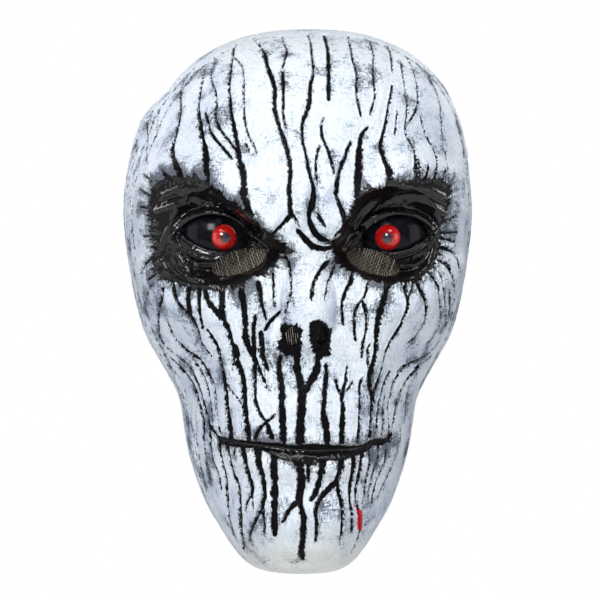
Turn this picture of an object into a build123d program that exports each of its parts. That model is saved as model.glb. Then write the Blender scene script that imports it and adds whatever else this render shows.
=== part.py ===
"""Full-face latex skull mask: a hollow cast skin that covers a face from crown to chin.

The skin carries domed eyes with red irises, woven sight and nostril screens, and an adjustable
elastic head strap that swings on two rivets. Millimetres. +Z is up as worn, the face looks
along -Y, the trimmed rim lies in the plane Y = 0, and Z = 0 is the wearer's line of sight.
"""

from build123d import *
from math import cos, hypot, pi, radians, sin
import os

# ---------------------------------------------------------------- driving dimensions
SKIN = 2.5  # wall of the cast latex
RIM_OVERRUN = 6.0  # how far the raw head form runs behind the rim before it is trimmed

# Height, half width, depth in front of the rim and squareness of each level of the head form.
HEAD_LEVELS = [
    (-154.5, 13.0, 26.0, 2.0),
    (-152.0, 22.5, 44.0, 2.1),
    (-147.0, 30.5, 58.0, 2.2),
    (-137.0, 38.0, 70.0, 2.3),
    (-125.0, 45.0, 78.0, 2.3),
    (-111.0, 50.5, 83.0, 2.35),
    (-97.0, 55.0, 87.0, 2.4),
    (-80.0, 58.0, 91.0, 2.4),
    (-64.0, 61.5, 93.0, 2.4),
    (-54.0, 66.5, 94.0, 2.35),
    (-44.0, 72.5, 94.5, 2.3),
    (-34.0, 77.5, 95.0, 2.3),
    (-22.0, 80.8, 95.5, 2.3),
    (-8.0, 83.0, 96.5, 2.3),
    (8.0, 85.0, 98.0, 2.3),
    (28.0, 86.5, 100.5, 2.25),
    (50.0, 84.5, 98.0, 2.2),
    (70.0, 79.5, 91.0, 2.15),
    (87.0, 71.5, 80.5, 2.1),
    (99.0, 61.0, 68.0, 2.05),
    (108.0, 47.5, 52.5, 2.0),
    (114.0, 29.0, 32.0, 2.0),
    (116.5, 15.0, 16.5, 2.0),
]
LEVEL_POINTS = 6  # points on each level's curve, from the side round to the middle of the face
MIDDLE_OVERRUN = 20.0  # how far the raw half head runs past the middle plane

# Eyes. Sizes are for the right eye, on +X; the left one mirrors it.
ORBIT_CENTRE = (41.0, -93.0, 10.0)
ORBIT_HALF_LENGTH = 32.0
ORBIT_RADIUS = 24.5
ORBIT_SWEEP = 22.0  # degrees the orbit's outer end turns back round the head
ORBIT_LIFT = 12.0  # degrees its outer end rises
EYE_CENTRE = (42.0, -57.0, 12.0)
EYE_RADIUS = 21.0
EYE_WALL = 2.5
EYE_GAP = 0.2  # glue line between the dome and the lids
EYE_BACK_Y = -63.0
LID_THICKNESS = 2.0
LID_OUTER_CORNER = (61.0, 14.5)
LID_INNER_CORNER = (25.0, 8.5)
LID_TOP = (44.0, 22.0)
LID_BOTTOM = (41.0, 4.2)
GAZE_TARGET = (38.7, 11.2)  # where the middle of the iris shows, seen from the front
IRIS_RADIUS = 6.0
IRIS_SEAT_DEPTH = 1.3
IRIS_RISE = 2.6
PUPIL_RADIUS = 2.4
PUPIL_SEAT_DEPTH = 1.0
PUPIL_RISE = 0.5
SEAT_GAP = 0.05

# Sight openings under the eyes, and the woven screens glued behind them.
SIGHT_CENTRE = (32.0, -0.4)
SIGHT_HALF_LENGTH = 13.5
SIGHT_HALF_HEIGHT = 5.5
SIGHT_TILT = 18.0  # degrees the outer end drops
SIGHT_SHELF = 5.8  # the eye dome stops this far above SIGHT_CENTRE's level, at that X
SCREEN_THICKNESS = 0.6
SCREEN_MARGIN = 3.5
SCREEN_GAP = 0.12

# Nose.
NOSE_CENTRE = (0.0, -91.0, -21.0)
NOSE_HALF_HEIGHT = 22.0
NOSE_RADIUS = 13.0
NOSTRIL_OFFSET = 7.4
NOSTRIL_Z = -34.5
NOSTRIL_HALF_WIDTH = 4.2
NOSTRIL_HALF_HEIGHT = 5.6
NOSTRIL_TILT = 12.0
NOSE_SCREEN_SIZE = (34.0, 22.0)
NOSE_SCREEN_CORNER = 5.0

# Mouth: a closed groove pressed into the skin.
MOUTH_HALF_WIDTH = 40.0
MOUTH_CORNER_Z = -83.0
MOUTH_MIDDLE_Z = -91.0
MOUTH_GROOVE_HEIGHT = 3.0
MOUTH_GROOVE_DEPTH = 1.3

# Rivets, the pads they are set in, and the elastic strap.
RIVET_Y = -11.0
RIVET_Z = 27.0
RIVET_POST_RADIUS = 2.0
RIVET_BORE_RADIUS = 2.05
RIVET_FLANGE_RADIUS = 4.5  # the flange is hidden in the pad, so nothing shows outside
RIVET_FLANGE_THICKNESS = 0.5
RIVET_CAP_RADIUS = 4.5
RIVET_TUBE_RADIUS = 1.2
PAD_RADIUS = 11.0
PAD_FACE_X = 81.4
PAD_UNDER_FLANGE = 1.2
STRAP_WIDTH = 25.0
STRAP_THICKNESS = 1.5
STRAP_FACE_X = 81.1
STRAP_LEG_END_Y = 10.0
STRAP_BEND_RADIUS = 50.0
STRAP_OVERLAP = 28.0  # each strap runs this far past the middle of the back
STRAP_EYELET_RADIUS = 2.4
RIVET_CAP_GAP = 0.3
RIVET_CAP_HEIGHT = 1.2
TAPE_LENGTH = 48.0
TAPE_WIDTH = 20.0
TAPE_THICKNESS = 1.0
SLIDER_LENGTH = 12.0
SLIDER_WALL = 2.2
SLIDER_CLEARANCE = 0.4
SLIDER_FILLET = 0.8

SIDES = (("left", -1), ("right", 1))

# The frontal plane openings are drawn on, X across and Z up, and how far they are cut.
FRONT_Y = -120.0
INSIDE_Y = -55.0
FRONTAL = Plane(origin=(0, INSIDE_Y, 0), x_dir=(1, 0, 0), z_dir=(0, -1, 0))


# ---------------------------------------------------------------- head form
def inset_curve(curve, inset):
    """Moves an outline given as (height, reach) points inwards along its normals."""
    moved = []
    for i, (height, reach) in enumerate(curve):
        low, high = curve[max(i - 1, 0)], curve[min(i + 1, len(curve) - 1)]
        rise, run = high[0] - low[0], high[1] - low[1]
        length = hypot(rise, run)
        moved.append((height + inset * run / length, reach - inset * rise / length))
    return moved


def reach_at(curve, height):
    """The reach of an outline at a height, in line between its points."""
    height = min(max(height, curve[0][0]), curve[-1][0])
    for (z0, r0), (z1, r1) in zip(curve, curve[1:]):
        if z0 <= height <= z1:
            return r0 + (r1 - r0) * (height - z0) / (z1 - z0)
    return curve[-1][1]


def level_points(half_width, depth, squareness):
    """Points of one level's curve, a superellipse from the side round to the middle plane."""
    power = 2 / squareness
    points = []
    for i in range(LEVEL_POINTS):
        angle = pi / 2 * i / (LEVEL_POINTS - 1)
        across = half_width * max(cos(angle), 0.0) ** power
        forward = depth * sin(angle) ** power
        points.append((across, -forward))
    points[-1] = (0.0, -depth)
    return points


def head_form(inset, back_y):
    """The +X half of the head form, smaller all round by inset, with a flat back at back_y.

    It runs a little past the middle plane, so that it can be cut there cleanly.
    """
    widths = inset_curve([(z, w) for z, w, _, _ in HEAD_LEVELS], inset)
    depths = inset_curve([(z, d) for z, _, d, _ in HEAD_LEVELS], inset)
    with BuildPart() as form:
        for (height, half_width), level in zip(widths, HEAD_LEVELS):
            depth = reach_at(depths, height)
            points = level_points(half_width, depth, level[3])
            middle_front = (-MIDDLE_OVERRUN, -depth)
            middle_back = (-MIDDLE_OVERRUN, back_y)
            with BuildSketch(Plane.XY.offset(height)):
                with BuildLine():
                    Spline(*points, tangents=[(0, -1, 0), (-1, 0, 0)])
                    Polyline(points[-1], middle_front, middle_back, (half_width, back_y), points[0])
                make_face()
        loft()
    return form.part


def spheroid(plane, half_length, radius):
    """A stretched ball, long along the plane's X direction."""
    with BuildPart() as solid:
        Sphere(1)
        scale(by=(half_length, radius, radius))
    return plane.location * solid.part


def ball(centre, radius):
    with BuildPart() as solid:
        with Locations(centre):
            Sphere(radius)
    return solid.part


# ---------------------------------------------------------------- eye and nose cutters
def orbit(grow):
    """The right eye's hollow, larger all round by grow."""
    sweep, lift = radians(ORBIT_SWEEP), radians(ORBIT_LIFT)
    along = (cos(sweep) * cos(lift), sin(sweep) * cos(lift), sin(lift))
    plane = Plane(origin=ORBIT_CENTRE, x_dir=along, z_dir=Vector(along).cross(Vector(0, 0, 1)))
    return spheroid(plane, ORBIT_HALF_LENGTH + grow, ORBIT_RADIUS + grow)


def front_prism(outline):
    """Carries a sketch on the frontal plane forwards, right through the face."""
    with BuildPart() as prism:
        extrude(outline, amount=INSIDE_Y - FRONT_Y)
    return prism.part


def lid_opening():
    with BuildSketch(FRONTAL) as opening:
        with BuildLine():
            ThreePointArc(LID_OUTER_CORNER, LID_TOP, LID_INNER_CORNER)
            ThreePointArc(LID_INNER_CORNER, LID_BOTTOM, LID_OUTER_CORNER)
        make_face()
    return opening.sketch


def sight_opening(margin=0.0):
    with BuildSketch(FRONTAL) as opening:
        with Locations(Location(SIGHT_CENTRE + (0,), (0, 0, -SIGHT_TILT))):
            Ellipse(SIGHT_HALF_LENGTH + margin, SIGHT_HALF_HEIGHT + margin)
    return opening.sketch


def nostril_opening():
    with BuildSketch(FRONTAL) as opening:
        with Locations(Location((NOSTRIL_OFFSET, NOSTRIL_Z, 0), (0, 0, NOSTRIL_TILT))):
            Ellipse(NOSTRIL_HALF_WIDTH, NOSTRIL_HALF_HEIGHT)
    return opening.sketch


def mouth_slit():
    rise = MOUTH_GROOVE_HEIGHT / 2
    right_corner = (MOUTH_HALF_WIDTH, MOUTH_CORNER_Z)
    left_corner = (-MOUTH_HALF_WIDTH, MOUTH_CORNER_Z)
    with BuildSketch(FRONTAL) as slit:
        with BuildLine():
            ThreePointArc(left_corner, (0, MOUTH_MIDDLE_Z + rise), right_corner)
            ThreePointArc(right_corner, (0, MOUTH_MIDDLE_Z - rise), left_corner)
        make_face()
    return slit.sketch


def shelf_plane(drop=0.0):
    """The plane between an eye dome, on its upper side, and the sight opening under it."""
    tilt = radians(SIGHT_TILT)
    origin = (SIGHT_CENTRE[0], 0, SIGHT_CENTRE[1] + SIGHT_SHELF - drop)
    return Plane(origin=origin, x_dir=(0, 1, 0), z_dir=(sin(tilt), 0, cos(tilt)))


# ---------------------------------------------------------------- mask shell
head_outside = head_form(0.0, RIM_OVERRUN)
head_inside = head_form(SKIN, 2 * RIM_OVERRUN)
nose_plane = Plane(origin=NOSE_CENTRE, x_dir=(0, 0, 1), z_dir=(1, 0, 0))

with BuildPart() as outside:
    add(head_outside)
    add(spheroid(nose_plane, NOSE_HALF_HEIGHT, NOSE_RADIUS))
    add(orbit(0.0), mode=Mode.SUBTRACT)
    add(ball(EYE_CENTRE, EYE_RADIUS + EYE_GAP + LID_THICKNESS))

with BuildPart() as cavity:
    add(head_inside)
    add(spheroid(nose_plane, NOSE_HALF_HEIGHT - SKIN, NOSE_RADIUS - SKIN))
    add(orbit(SKIN), mode=Mode.SUBTRACT)
    add(ball(EYE_CENTRE, EYE_RADIUS + EYE_GAP))

with BuildPart() as mouth_groove:
    add(head_outside)
    add(head_form(MOUTH_GROOVE_DEPTH, 2 * RIM_OVERRUN), mode=Mode.SUBTRACT)
    add(front_prism(mouth_slit()), mode=Mode.INTERSECT)

# One half of the skin is cut out of the forms, trimmed at the rim and the middle, and mirrored.
with BuildPart() as mask_shell:
    add(outside.part)
    add(cavity.part, mode=Mode.SUBTRACT)
    for outline in (lid_opening(), sight_opening(), nostril_opening()):
        add(front_prism(outline), mode=Mode.SUBTRACT)
    add(mouth_groove.part, mode=Mode.SUBTRACT)
    split(bisect_by=Plane.XZ, keep=Keep.TOP)  # Plane.XZ faces -Y, so this keeps the face
    split(bisect_by=Plane.YZ, keep=Keep.TOP)
    mirror(about=Plane.YZ)


# ---------------------------------------------------------------- eyes
def gaze_plane():
    """A plane at the right eye's centre whose normal is the way the iris faces."""
    across = GAZE_TARGET[0] - EYE_CENTRE[0]
    up = GAZE_TARGET[1] - EYE_CENTRE[2]
    forward = (EYE_RADIUS**2 - across**2 - up**2) ** 0.5
    return Plane(origin=EYE_CENTRE, x_dir=(0, 0, 1), z_dir=(across, -forward, up))


def domed_button(radius, foot, shoulder, crown):
    """A button on the gaze axis: flat foot, straight side to the shoulder, domed crown."""
    gaze = gaze_plane()
    rise = crown - shoulder
    dome_radius = (radius**2 + rise**2) / (2 * rise)
    with BuildPart() as button:
        with Locations(gaze.offset(foot).location):
            Cylinder(radius, crown - foot, align=(Align.CENTER, Align.CENTER, Align.MIN))
        with Locations(gaze.offset(crown - dome_radius).location):
            Sphere(dome_radius, mode=Mode.INTERSECT)
    return button.part


iris_foot = (EYE_RADIUS**2 - IRIS_RADIUS**2) ** 0.5 - IRIS_SEAT_DEPTH
iris_shoulder = iris_foot + IRIS_SEAT_DEPTH
iris_crown = EYE_RADIUS + IRIS_RISE
pupil_foot = iris_crown - PUPIL_SEAT_DEPTH
pupil_crown = iris_crown + PUPIL_RISE
pupil_shoulder = iris_crown

with BuildPart() as right_eyeball:
    with Locations(EYE_CENTRE):
        Sphere(EYE_RADIUS)
        Sphere(EYE_RADIUS - EYE_WALL, mode=Mode.SUBTRACT)
    split(bisect_by=Plane.XZ.offset(-EYE_BACK_Y), keep=Keep.TOP)
    split(bisect_by=shelf_plane(), keep=Keep.TOP)
    with Locations(gaze_plane().offset(iris_foot).location):
        Cylinder(
            IRIS_RADIUS + SEAT_GAP,
            2 * EYE_WALL,
            align=(Align.CENTER, Align.CENTER, Align.MIN),
            mode=Mode.SUBTRACT,
        )

with BuildPart() as right_iris:
    add(domed_button(IRIS_RADIUS, iris_foot, iris_shoulder, iris_crown))
    with Locations(gaze_plane().offset(pupil_foot).location):
        Cylinder(
            PUPIL_RADIUS + SEAT_GAP,
            2 * PUPIL_SEAT_DEPTH,
            align=(Align.CENTER, Align.CENTER, Align.MIN),
            mode=Mode.SUBTRACT,
        )

with BuildPart() as right_pupil:
    add(domed_button(PUPIL_RADIUS, pupil_foot, pupil_shoulder, pupil_crown))


# ---------------------------------------------------------------- screens
with BuildPart() as right_sight_mesh:
    add(orbit(SKIN + SCREEN_GAP + SCREEN_THICKNESS))
    add(orbit(SKIN + SCREEN_GAP), mode=Mode.SUBTRACT)
    add(front_prism(sight_opening(SCREEN_MARGIN)), mode=Mode.INTERSECT)
    add(head_form(SKIN + SCREEN_GAP, 2 * RIM_OVERRUN), mode=Mode.INTERSECT)
    split(bisect_by=shelf_plane(drop=2 * SCREEN_GAP), keep=Keep.BOTTOM)

with BuildSketch(FRONTAL) as nose_screen_outline:
    with Locations((0, NOSTRIL_Z)):
        RectangleRounded(*NOSE_SCREEN_SIZE, NOSE_SCREEN_CORNER)

with BuildPart() as nose_mesh:
    add(head_form(SKIN + SCREEN_GAP, 2 * RIM_OVERRUN))
    add(head_form(SKIN + SCREEN_GAP + SCREEN_THICKNESS, 3 * RIM_OVERRUN), mode=Mode.SUBTRACT)
    add(front_prism(nose_screen_outline.sketch), mode=Mode.INTERSECT)
    split(bisect_by=Plane.YZ, keep=Keep.TOP)
    mirror(about=Plane.YZ)


# ---------------------------------------------------------------- rivets and pads
def on_rivet_axis(x):
    """A plane across the rivet axis at x, facing +X."""
    return Plane(origin=(x, RIVET_Y, RIVET_Z), x_dir=(0, 1, 0), z_dir=(1, 0, 0))


flange_x = PAD_FACE_X + PAD_UNDER_FLANGE
strap_inner_x = STRAP_FACE_X - STRAP_THICKNESS
cap_x = strap_inner_x - RIVET_CAP_GAP

with BuildPart() as right_strap_pad:
    with BuildSketch(on_rivet_axis(PAD_FACE_X)):
        Circle(PAD_RADIUS)
    extrude(amount=PAD_RADIUS)
    with BuildSketch(on_rivet_axis(PAD_FACE_X)):
        Circle(RIVET_BORE_RADIUS)
    extrude(amount=PAD_RADIUS, mode=Mode.SUBTRACT)
    with BuildSketch(on_rivet_axis(flange_x)):
        Circle(RIVET_FLANGE_RADIUS + SEAT_GAP)
    extrude(amount=PAD_RADIUS, mode=Mode.SUBTRACT)
    add(head_inside, mode=Mode.INTERSECT)

with BuildPart() as right_rivet:
    with BuildSketch(on_rivet_axis(flange_x)):
        Circle(RIVET_FLANGE_RADIUS)
    extrude(amount=RIVET_FLANGE_THICKNESS)
    with BuildSketch(on_rivet_axis(cap_x)):
        Circle(RIVET_POST_RADIUS)
    extrude(amount=flange_x - cap_x)
    with BuildSketch(on_rivet_axis(cap_x)):
        Circle(RIVET_TUBE_RADIUS)
    extrude(amount=0.8 * (flange_x - cap_x), mode=Mode.SUBTRACT)

with BuildPart() as right_rivet_cap:
    with BuildSketch(on_rivet_axis(cap_x)):
        Circle(RIVET_CAP_RADIUS)
    extrude(amount=-RIVET_CAP_HEIGHT)
    fillet(right_rivet_cap.edges().group_by(Axis.X)[0], 0.6 * RIVET_CAP_HEIGHT)


# ---------------------------------------------------------------- strap
def elastic(side, layer_shift):
    """One elastic strap: a rounded end on the rivet, a leg, a bend and half of the back run."""
    x = side * (STRAP_FACE_X - STRAP_THICKNESS / 2)
    radius = STRAP_BEND_RADIUS + layer_shift
    turn_x, back_y = x - side * radius, STRAP_LEG_END_Y + radius
    middle = (turn_x + side * radius * sin(pi / 4), STRAP_LEG_END_Y + radius * cos(pi / 4))
    low_z = RIVET_Z - STRAP_WIDTH / 2
    with BuildPart() as strap:
        with BuildSketch(Plane.XY.offset(low_z)):
            with BuildLine() as route:
                Line((x, RIVET_Y), (x, STRAP_LEG_END_Y))
                ThreePointArc((x, STRAP_LEG_END_Y), middle, (turn_x, back_y))
                Line((turn_x, back_y), (-side * STRAP_OVERLAP, back_y))
            trace(route.line, line_width=STRAP_THICKNESS)
        extrude(amount=STRAP_WIDTH)
        with BuildSketch(on_rivet_axis(x - STRAP_THICKNESS / 2)):
            Circle(STRAP_WIDTH / 2)
        extrude(amount=STRAP_THICKNESS)
        with BuildSketch(on_rivet_axis(x - STRAP_THICKNESS)):
            Circle(STRAP_EYELET_RADIUS)
        extrude(amount=2 * STRAP_THICKNESS, mode=Mode.SUBTRACT)
    return strap.part


layer_step = STRAP_THICKNESS / 2 + TAPE_THICKNESS
right_strap = elastic(1, -layer_step)
left_strap = elastic(-1, layer_step)
stack_y = STRAP_LEG_END_Y + STRAP_BEND_RADIUS  # middle of the closure's stack of layers

with BuildPart() as loop_tape:
    with Locations((0, stack_y, RIVET_Z)):
        Box(
            TAPE_LENGTH,
            TAPE_THICKNESS,
            TAPE_WIDTH,
            align=(Align.CENTER, Align.MAX, Align.CENTER),
        )

with BuildPart() as hook_tape:
    with Locations((0, stack_y, RIVET_Z)):
        Box(
            TAPE_LENGTH,
            TAPE_THICKNESS,
            TAPE_WIDTH,
            align=(Align.CENTER, Align.MIN, Align.CENTER),
        )

window_depth = 2 * (layer_step + STRAP_THICKNESS / 2 + SLIDER_CLEARANCE)
window_height = STRAP_WIDTH + 2 * SLIDER_CLEARANCE

with BuildPart() as strap_slider:
    slider_end = Plane(origin=(-SLIDER_LENGTH / 2, stack_y, RIVET_Z), x_dir=(0, 1, 0), z_dir=(1, 0, 0))
    outer_size = (window_depth + 2 * SLIDER_WALL, window_height + 2 * SLIDER_WALL)
    with BuildSketch(slider_end):
        RectangleRounded(*outer_size, SLIDER_WALL)
        Rectangle(window_depth, window_height, mode=Mode.SUBTRACT)
    extrude(amount=SLIDER_LENGTH)
    outer_rims = strap_slider.edges().group_by(Axis.X)[0] + strap_slider.edges().group_by(Axis.X)[-1]
    fillet(outer_rims.filter_by(lambda e: e.length > window_depth + 1), SLIDER_FILLET)

# ---------------------------------------------------------------- files
os.makedirs("parts", exist_ok=True)

pieces = {
    "mask_shell": mask_shell.part,
    "nose_mesh": nose_mesh.part,
    "left_strap": left_strap,
    "right_strap": right_strap,
    "hook_tape": hook_tape.part,
    "loop_tape": loop_tape.part,
    "strap_slider": strap_slider.part,
}
mirrored = {
    "eyeball": right_eyeball.part,
    "iris": right_iris.part,
    "pupil": right_pupil.part,
    "sight_mesh": right_sight_mesh.part,
    "strap_pad": right_strap_pad.part,
    "rivet": right_rivet.part,
    "rivet_cap": right_rivet_cap.part,
}
for name, right_piece in mirrored.items():
    for side_name, side in SIDES:
        pieces[f"{side_name}_{name}"] = right_piece if side > 0 else right_piece.mirror(Plane.YZ)

for name, piece in pieces.items():
    piece.label = name
    export_step(piece, f"parts/{name}.step")
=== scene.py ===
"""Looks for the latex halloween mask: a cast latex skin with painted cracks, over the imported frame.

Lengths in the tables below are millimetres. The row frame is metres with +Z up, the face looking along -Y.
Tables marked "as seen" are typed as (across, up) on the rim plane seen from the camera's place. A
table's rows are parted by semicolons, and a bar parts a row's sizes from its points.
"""

import math

import bpy
import numpy as np
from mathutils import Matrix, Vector, kdtree


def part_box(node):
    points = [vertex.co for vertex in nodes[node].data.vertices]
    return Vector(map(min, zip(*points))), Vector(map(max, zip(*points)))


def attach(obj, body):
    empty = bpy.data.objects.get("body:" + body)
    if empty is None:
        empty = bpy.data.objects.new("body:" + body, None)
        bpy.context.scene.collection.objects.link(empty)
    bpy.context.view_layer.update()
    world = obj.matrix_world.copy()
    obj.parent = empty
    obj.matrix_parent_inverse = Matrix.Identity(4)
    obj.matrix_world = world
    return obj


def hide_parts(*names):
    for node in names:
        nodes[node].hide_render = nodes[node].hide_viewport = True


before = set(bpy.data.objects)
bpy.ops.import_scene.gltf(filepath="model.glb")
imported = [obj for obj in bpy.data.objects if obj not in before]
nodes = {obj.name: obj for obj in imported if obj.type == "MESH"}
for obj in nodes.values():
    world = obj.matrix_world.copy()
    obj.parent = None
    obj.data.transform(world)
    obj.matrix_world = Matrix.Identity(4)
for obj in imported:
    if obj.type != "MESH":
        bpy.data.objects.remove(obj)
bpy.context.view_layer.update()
rng = np.random.default_rng(11)

# ---------------------------------------------------------------- the camera and how it sees the face
SEEN_FROM = 1500.0  # the camera's distance from the rim plane
YAW = 0.0577  # tangent of its turn towards the left side
EYE_LEVEL = -18.5
SKIN = 2.3  # thickness of the cast latex shown
GRID_STEP = 0.42
CORNER_ROUNDING = 1.6  # half the length that a typed line's corners are rounded over
SIDES = (("left", -1), ("right", 1))


def as_seen(points):
    """Where the camera sees each point, measured on the rim plane."""
    depth = -points[..., 1]
    nearer = SEEN_FROM / (SEEN_FROM - depth)
    across = (points[..., 0] + YAW * depth) * nearer
    up = EYE_LEVEL + (points[..., 2] - EYE_LEVEL) * nearer
    return across, up


def pairs(text):
    """A typed row of "across up across up ..." as an array of points."""
    return np.array(text.split(), float).reshape(-1, 2)


def length_along(points):
    """How far along the polyline each of its points lies."""
    return np.concatenate([[0], np.cumsum(np.linalg.norm(np.diff(points, axis=0), axis=1))])


def resample(points, step):
    """The polyline's points every step, rounded a little at its corners, and each one's share of the way."""
    along = length_along(points)
    count = max(3, int(along[-1] / step) + 1)
    at = np.linspace(0, along[-1], count)
    fine = np.stack([np.interp(at, along, points[:, k]) for k in (0, 1)], 1)
    reach = min(int(CORNER_ROUNDING / step), count // 3)
    if reach > 0:
        padded = np.concatenate([np.repeat(fine[:1], reach, 0), fine, np.repeat(fine[-1:], reach, 0)])
        kernel = np.ones(2 * reach + 1) / (2 * reach + 1)
        fine = np.stack([np.convolve(padded[:, k], kernel, "valid") for k in (0, 1)], 1)
    return fine, at / max(at[-1], 1e-6)


def polyline_distance(x, z, points):
    """Distance of each (x, z) from the polyline."""
    best = np.full(x.shape, 1e9)
    for (ax, az), (bx, bz) in zip(points[:-1], points[1:]):
        dx, dz = bx - ax, bz - az
        share = np.clip(((x - ax) * dx + (z - az) * dz) / (dx * dx + dz * dz + 1e-9), 0, 1)
        gap = np.hypot(x - ax - share * dx, z - az - share * dz)
        best = np.minimum(best, gap)
    return best


def polygon_distance(x, z, outline):
    """Distance from the outline, negative inside it."""
    closed = np.concatenate([outline, outline[:1]])
    inside = np.zeros(x.shape, bool)
    for (ax, az), (bx, bz) in zip(closed[:-1], closed[1:]):
        crosses = (az > z) != (bz > z)
        at = ax + (z - az) * (bx - ax) / (bz - az if bz != az else 1e-9)
        inside ^= crosses & (x < at)
    gap = polyline_distance(x, z, closed)
    return np.where(inside, -gap, gap)


def smoothstep(low, high, value):
    """0 at low and 1 at high, easing in and out; low may be the greater."""
    share = np.clip((value - low) / (high - low), 0, 1)
    return share * share * (3 - 2 * share)


def smooth_min(a, b, blend):
    """The lesser of the two, with the crease between them filled over the blend's depth."""
    share = np.clip(0.5 + 0.5 * (b - a) / blend, 0, 1)
    return b * (1 - share) + a * share - blend * share * (1 - share)


def smooth_max(a, b, blend):
    return -smooth_min(-a, -b, blend)


def blurred(values, times):
    """The grid's values averaged with their neighbours, a few times."""
    for _ in range(times):
        edge = np.pad(values, 1, mode="edge")
        values = (edge[:-2, 1:-1] + edge[2:, 1:-1] + edge[1:-1, :-2] + edge[1:-1, 2:] + 2 * values) / 6
    return values


# ---------------------------------------------------------------- the head's base form
MIDDLE_Z = -18.6
HALF_HEIGHT = 134.1
# tables of (height, value): half the width, the depth, how far the soft crown leans to the right, and the
# power of each level's rounded outline
HALF_WIDTHS = pairs(
    "114.6 18  110 37.5  104.5 49.5  98.5 57.5  86.5 68.5  74.5 76  62 80.5  50.5 83.3  38 85.5  26.5 86.2 "
    "2.5 84  -9.5 82  -21.5 79.6  -33.5 76.2  -39.5 73.4  -45.5 69.8  -51.5 66.2  -57.5 62.8  -63 59.7 "
    "-69.5 57.6  -81.5 56  -93.5 54  -105.5 50.4  -117.5 45.8  -123.5 42.8  -129.5 39  -135.5 35.4 "
    "-141.5 31.2  -147.5 25.6  -151.4 17"
)
DEPTHS = pairs(
    "113.6 28  109 44  100 64  80 84  60 94  40 99  20 100.5  10 98  2 94  -10 95  -30 94  -50 92  -70 92.5 "
    "-95 89  -110 86.5  -130 80  -143 70  -150 54"
)
LEAN = pairs("117 5.5  85 5.3  70 4.3  54 2.8  42 0.6  36 0  -155 0")
SQUARENESS = pairs("117 2.0  60 2.1  20 2.3  -30 2.35  -60 2.35  -90 2.3  -130 2.3  -155 2.2")


def over_turn(table, sine_law):
    """The table smoothed against the turn from crown to chin; by the sine law it closes at both ends."""
    turn = np.linspace(0.002, math.pi - 0.002, 3000)
    z = MIDDLE_Z + HALF_HEIGHT * np.cos(turn)
    at = np.arccos(np.clip((table[:, 0] - MIDDLE_Z) / HALF_HEIGHT, -1, 1))
    values = table[:, 1] / np.sin(at) if sine_law else table[:, 1]
    order = np.argsort(at)
    fine = np.interp(turn, at[order], values[order])
    sigma = 0.022 / (turn[1] - turn[0])
    reach = int(3 * sigma)
    kernel = np.exp(-0.5 * (np.arange(-reach, reach + 1) / sigma) ** 2)
    fine = np.convolve(np.pad(fine, reach, mode="reflect"), kernel / kernel.sum(), "valid")
    return turn, z, fine * np.sin(turn) if sine_law else fine


turn, level_z, half_width = over_turn(HALF_WIDTHS, True)
level_depth = over_turn(DEPTHS, True)[2]
level_square = over_turn(SQUARENESS, False)[2]
front_run = np.hypot(np.gradient(level_depth), np.gradient(level_z))
side_run = np.hypot(np.gradient(half_width), np.gradient(level_z))
run = np.cumsum(0.6 * front_run + 0.4 * side_run)
ROWS = int(run[-1] / GRID_STEP)
COLUMNS = int(300 / GRID_STEP)
row_run = np.linspace(run[3], run[-4], ROWS)
row_z = np.interp(row_run, run, level_z)
row_width = np.interp(row_run, run, half_width)
row_depth = np.interp(row_run, run, level_depth)
row_square = np.interp(row_run, run, level_square)
row_lean = np.interp(row_run, run, over_turn(LEAN, False)[2])


def base_grid():
    """The plain head form, columns evenly spaced round each level from the left rim to the right."""
    angle = np.linspace(0, math.pi, 721)
    grid = np.zeros((ROWS, COLUMNS, 3))
    for row in range(ROWS):
        power = 2 / row_square[row]
        x = -row_width[row] * np.sign(np.cos(angle)) * np.abs(np.cos(angle)) ** power
        y = -row_depth[row] * np.abs(np.sin(angle)) ** power
        along = length_along(np.stack([x, y], 1))
        at = np.linspace(0, along[-1], COLUMNS)
        # the rim stays upright where the strap swings inside it
        upright = smoothstep(34, 12, -y) * smoothstep(88, 68, row_z[row])
        grid[row, :, 0] = np.interp(at, along, x + row_lean[row] * (1 - upright))
        grid[row, :, 1] = np.interp(at, along, y)
        grid[row, :, 2] = row_z[row]
    return grid


def grid_normals(points):
    """Outward normals of the grid."""
    down = np.gradient(points, axis=0)
    across = np.gradient(points, axis=1)
    normal = np.cross(down, across)
    length = np.linalg.norm(normal, axis=2, keepdims=True)
    normal = normal / np.maximum(length, 1e-9)
    middle = normal[ROWS // 2, COLUMNS // 2]
    return normal if middle[1] < 0 else -normal


# ---------------------------------------------------------------- sockets, lids and nose, as in the CAD
EYE = np.array([42.0, -57.0, 12.0])
LID_RADIUS = 23.2
ORBIT = np.array([41.0, -93.0, 10.0])
ORBIT_LONG, ORBIT_ROUND = 32.0, 24.5
SWEEP, LIFT = math.radians(22), math.radians(12)
NOSE = np.array([0.0, -91.0, -21.0])
NOSE_HALF_WIDTH, NOSE_HALF_HEIGHT = 13.0, 22.0


def orbit_back(x, z, side):
    """Depth of the socket's rear wall, an egg's far side, at each place; beyond the egg it comes forward."""
    level = math.cos(LIFT)
    along = np.array([side * math.cos(SWEEP) * level, math.sin(SWEEP) * level, math.sin(LIFT)])
    px, pz = x - side * ORBIT[0], z - ORBIT[2]
    # the point (px, t, pz): squash along the axis, then solve for the larger t
    k = 1 / ORBIT_LONG**2 - 1 / ORBIT_ROUND**2
    dot = px * along[0] + pz * along[2]
    a = 1 / ORBIT_ROUND**2 + k * along[1] ** 2
    b = 2 * k * dot * along[1]
    c = (px**2 + pz**2) / ORBIT_ROUND**2 + k * dot**2 - 1
    root = b * b - 4 * a * c
    back = (-b + np.sqrt(np.maximum(root, 0))) / (2 * a)
    outside = np.where(root < 0, np.sqrt(np.maximum(-root, 0)) / (2 * a), 0)
    return ORBIT[1] + back - 1.6 * outside


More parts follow.
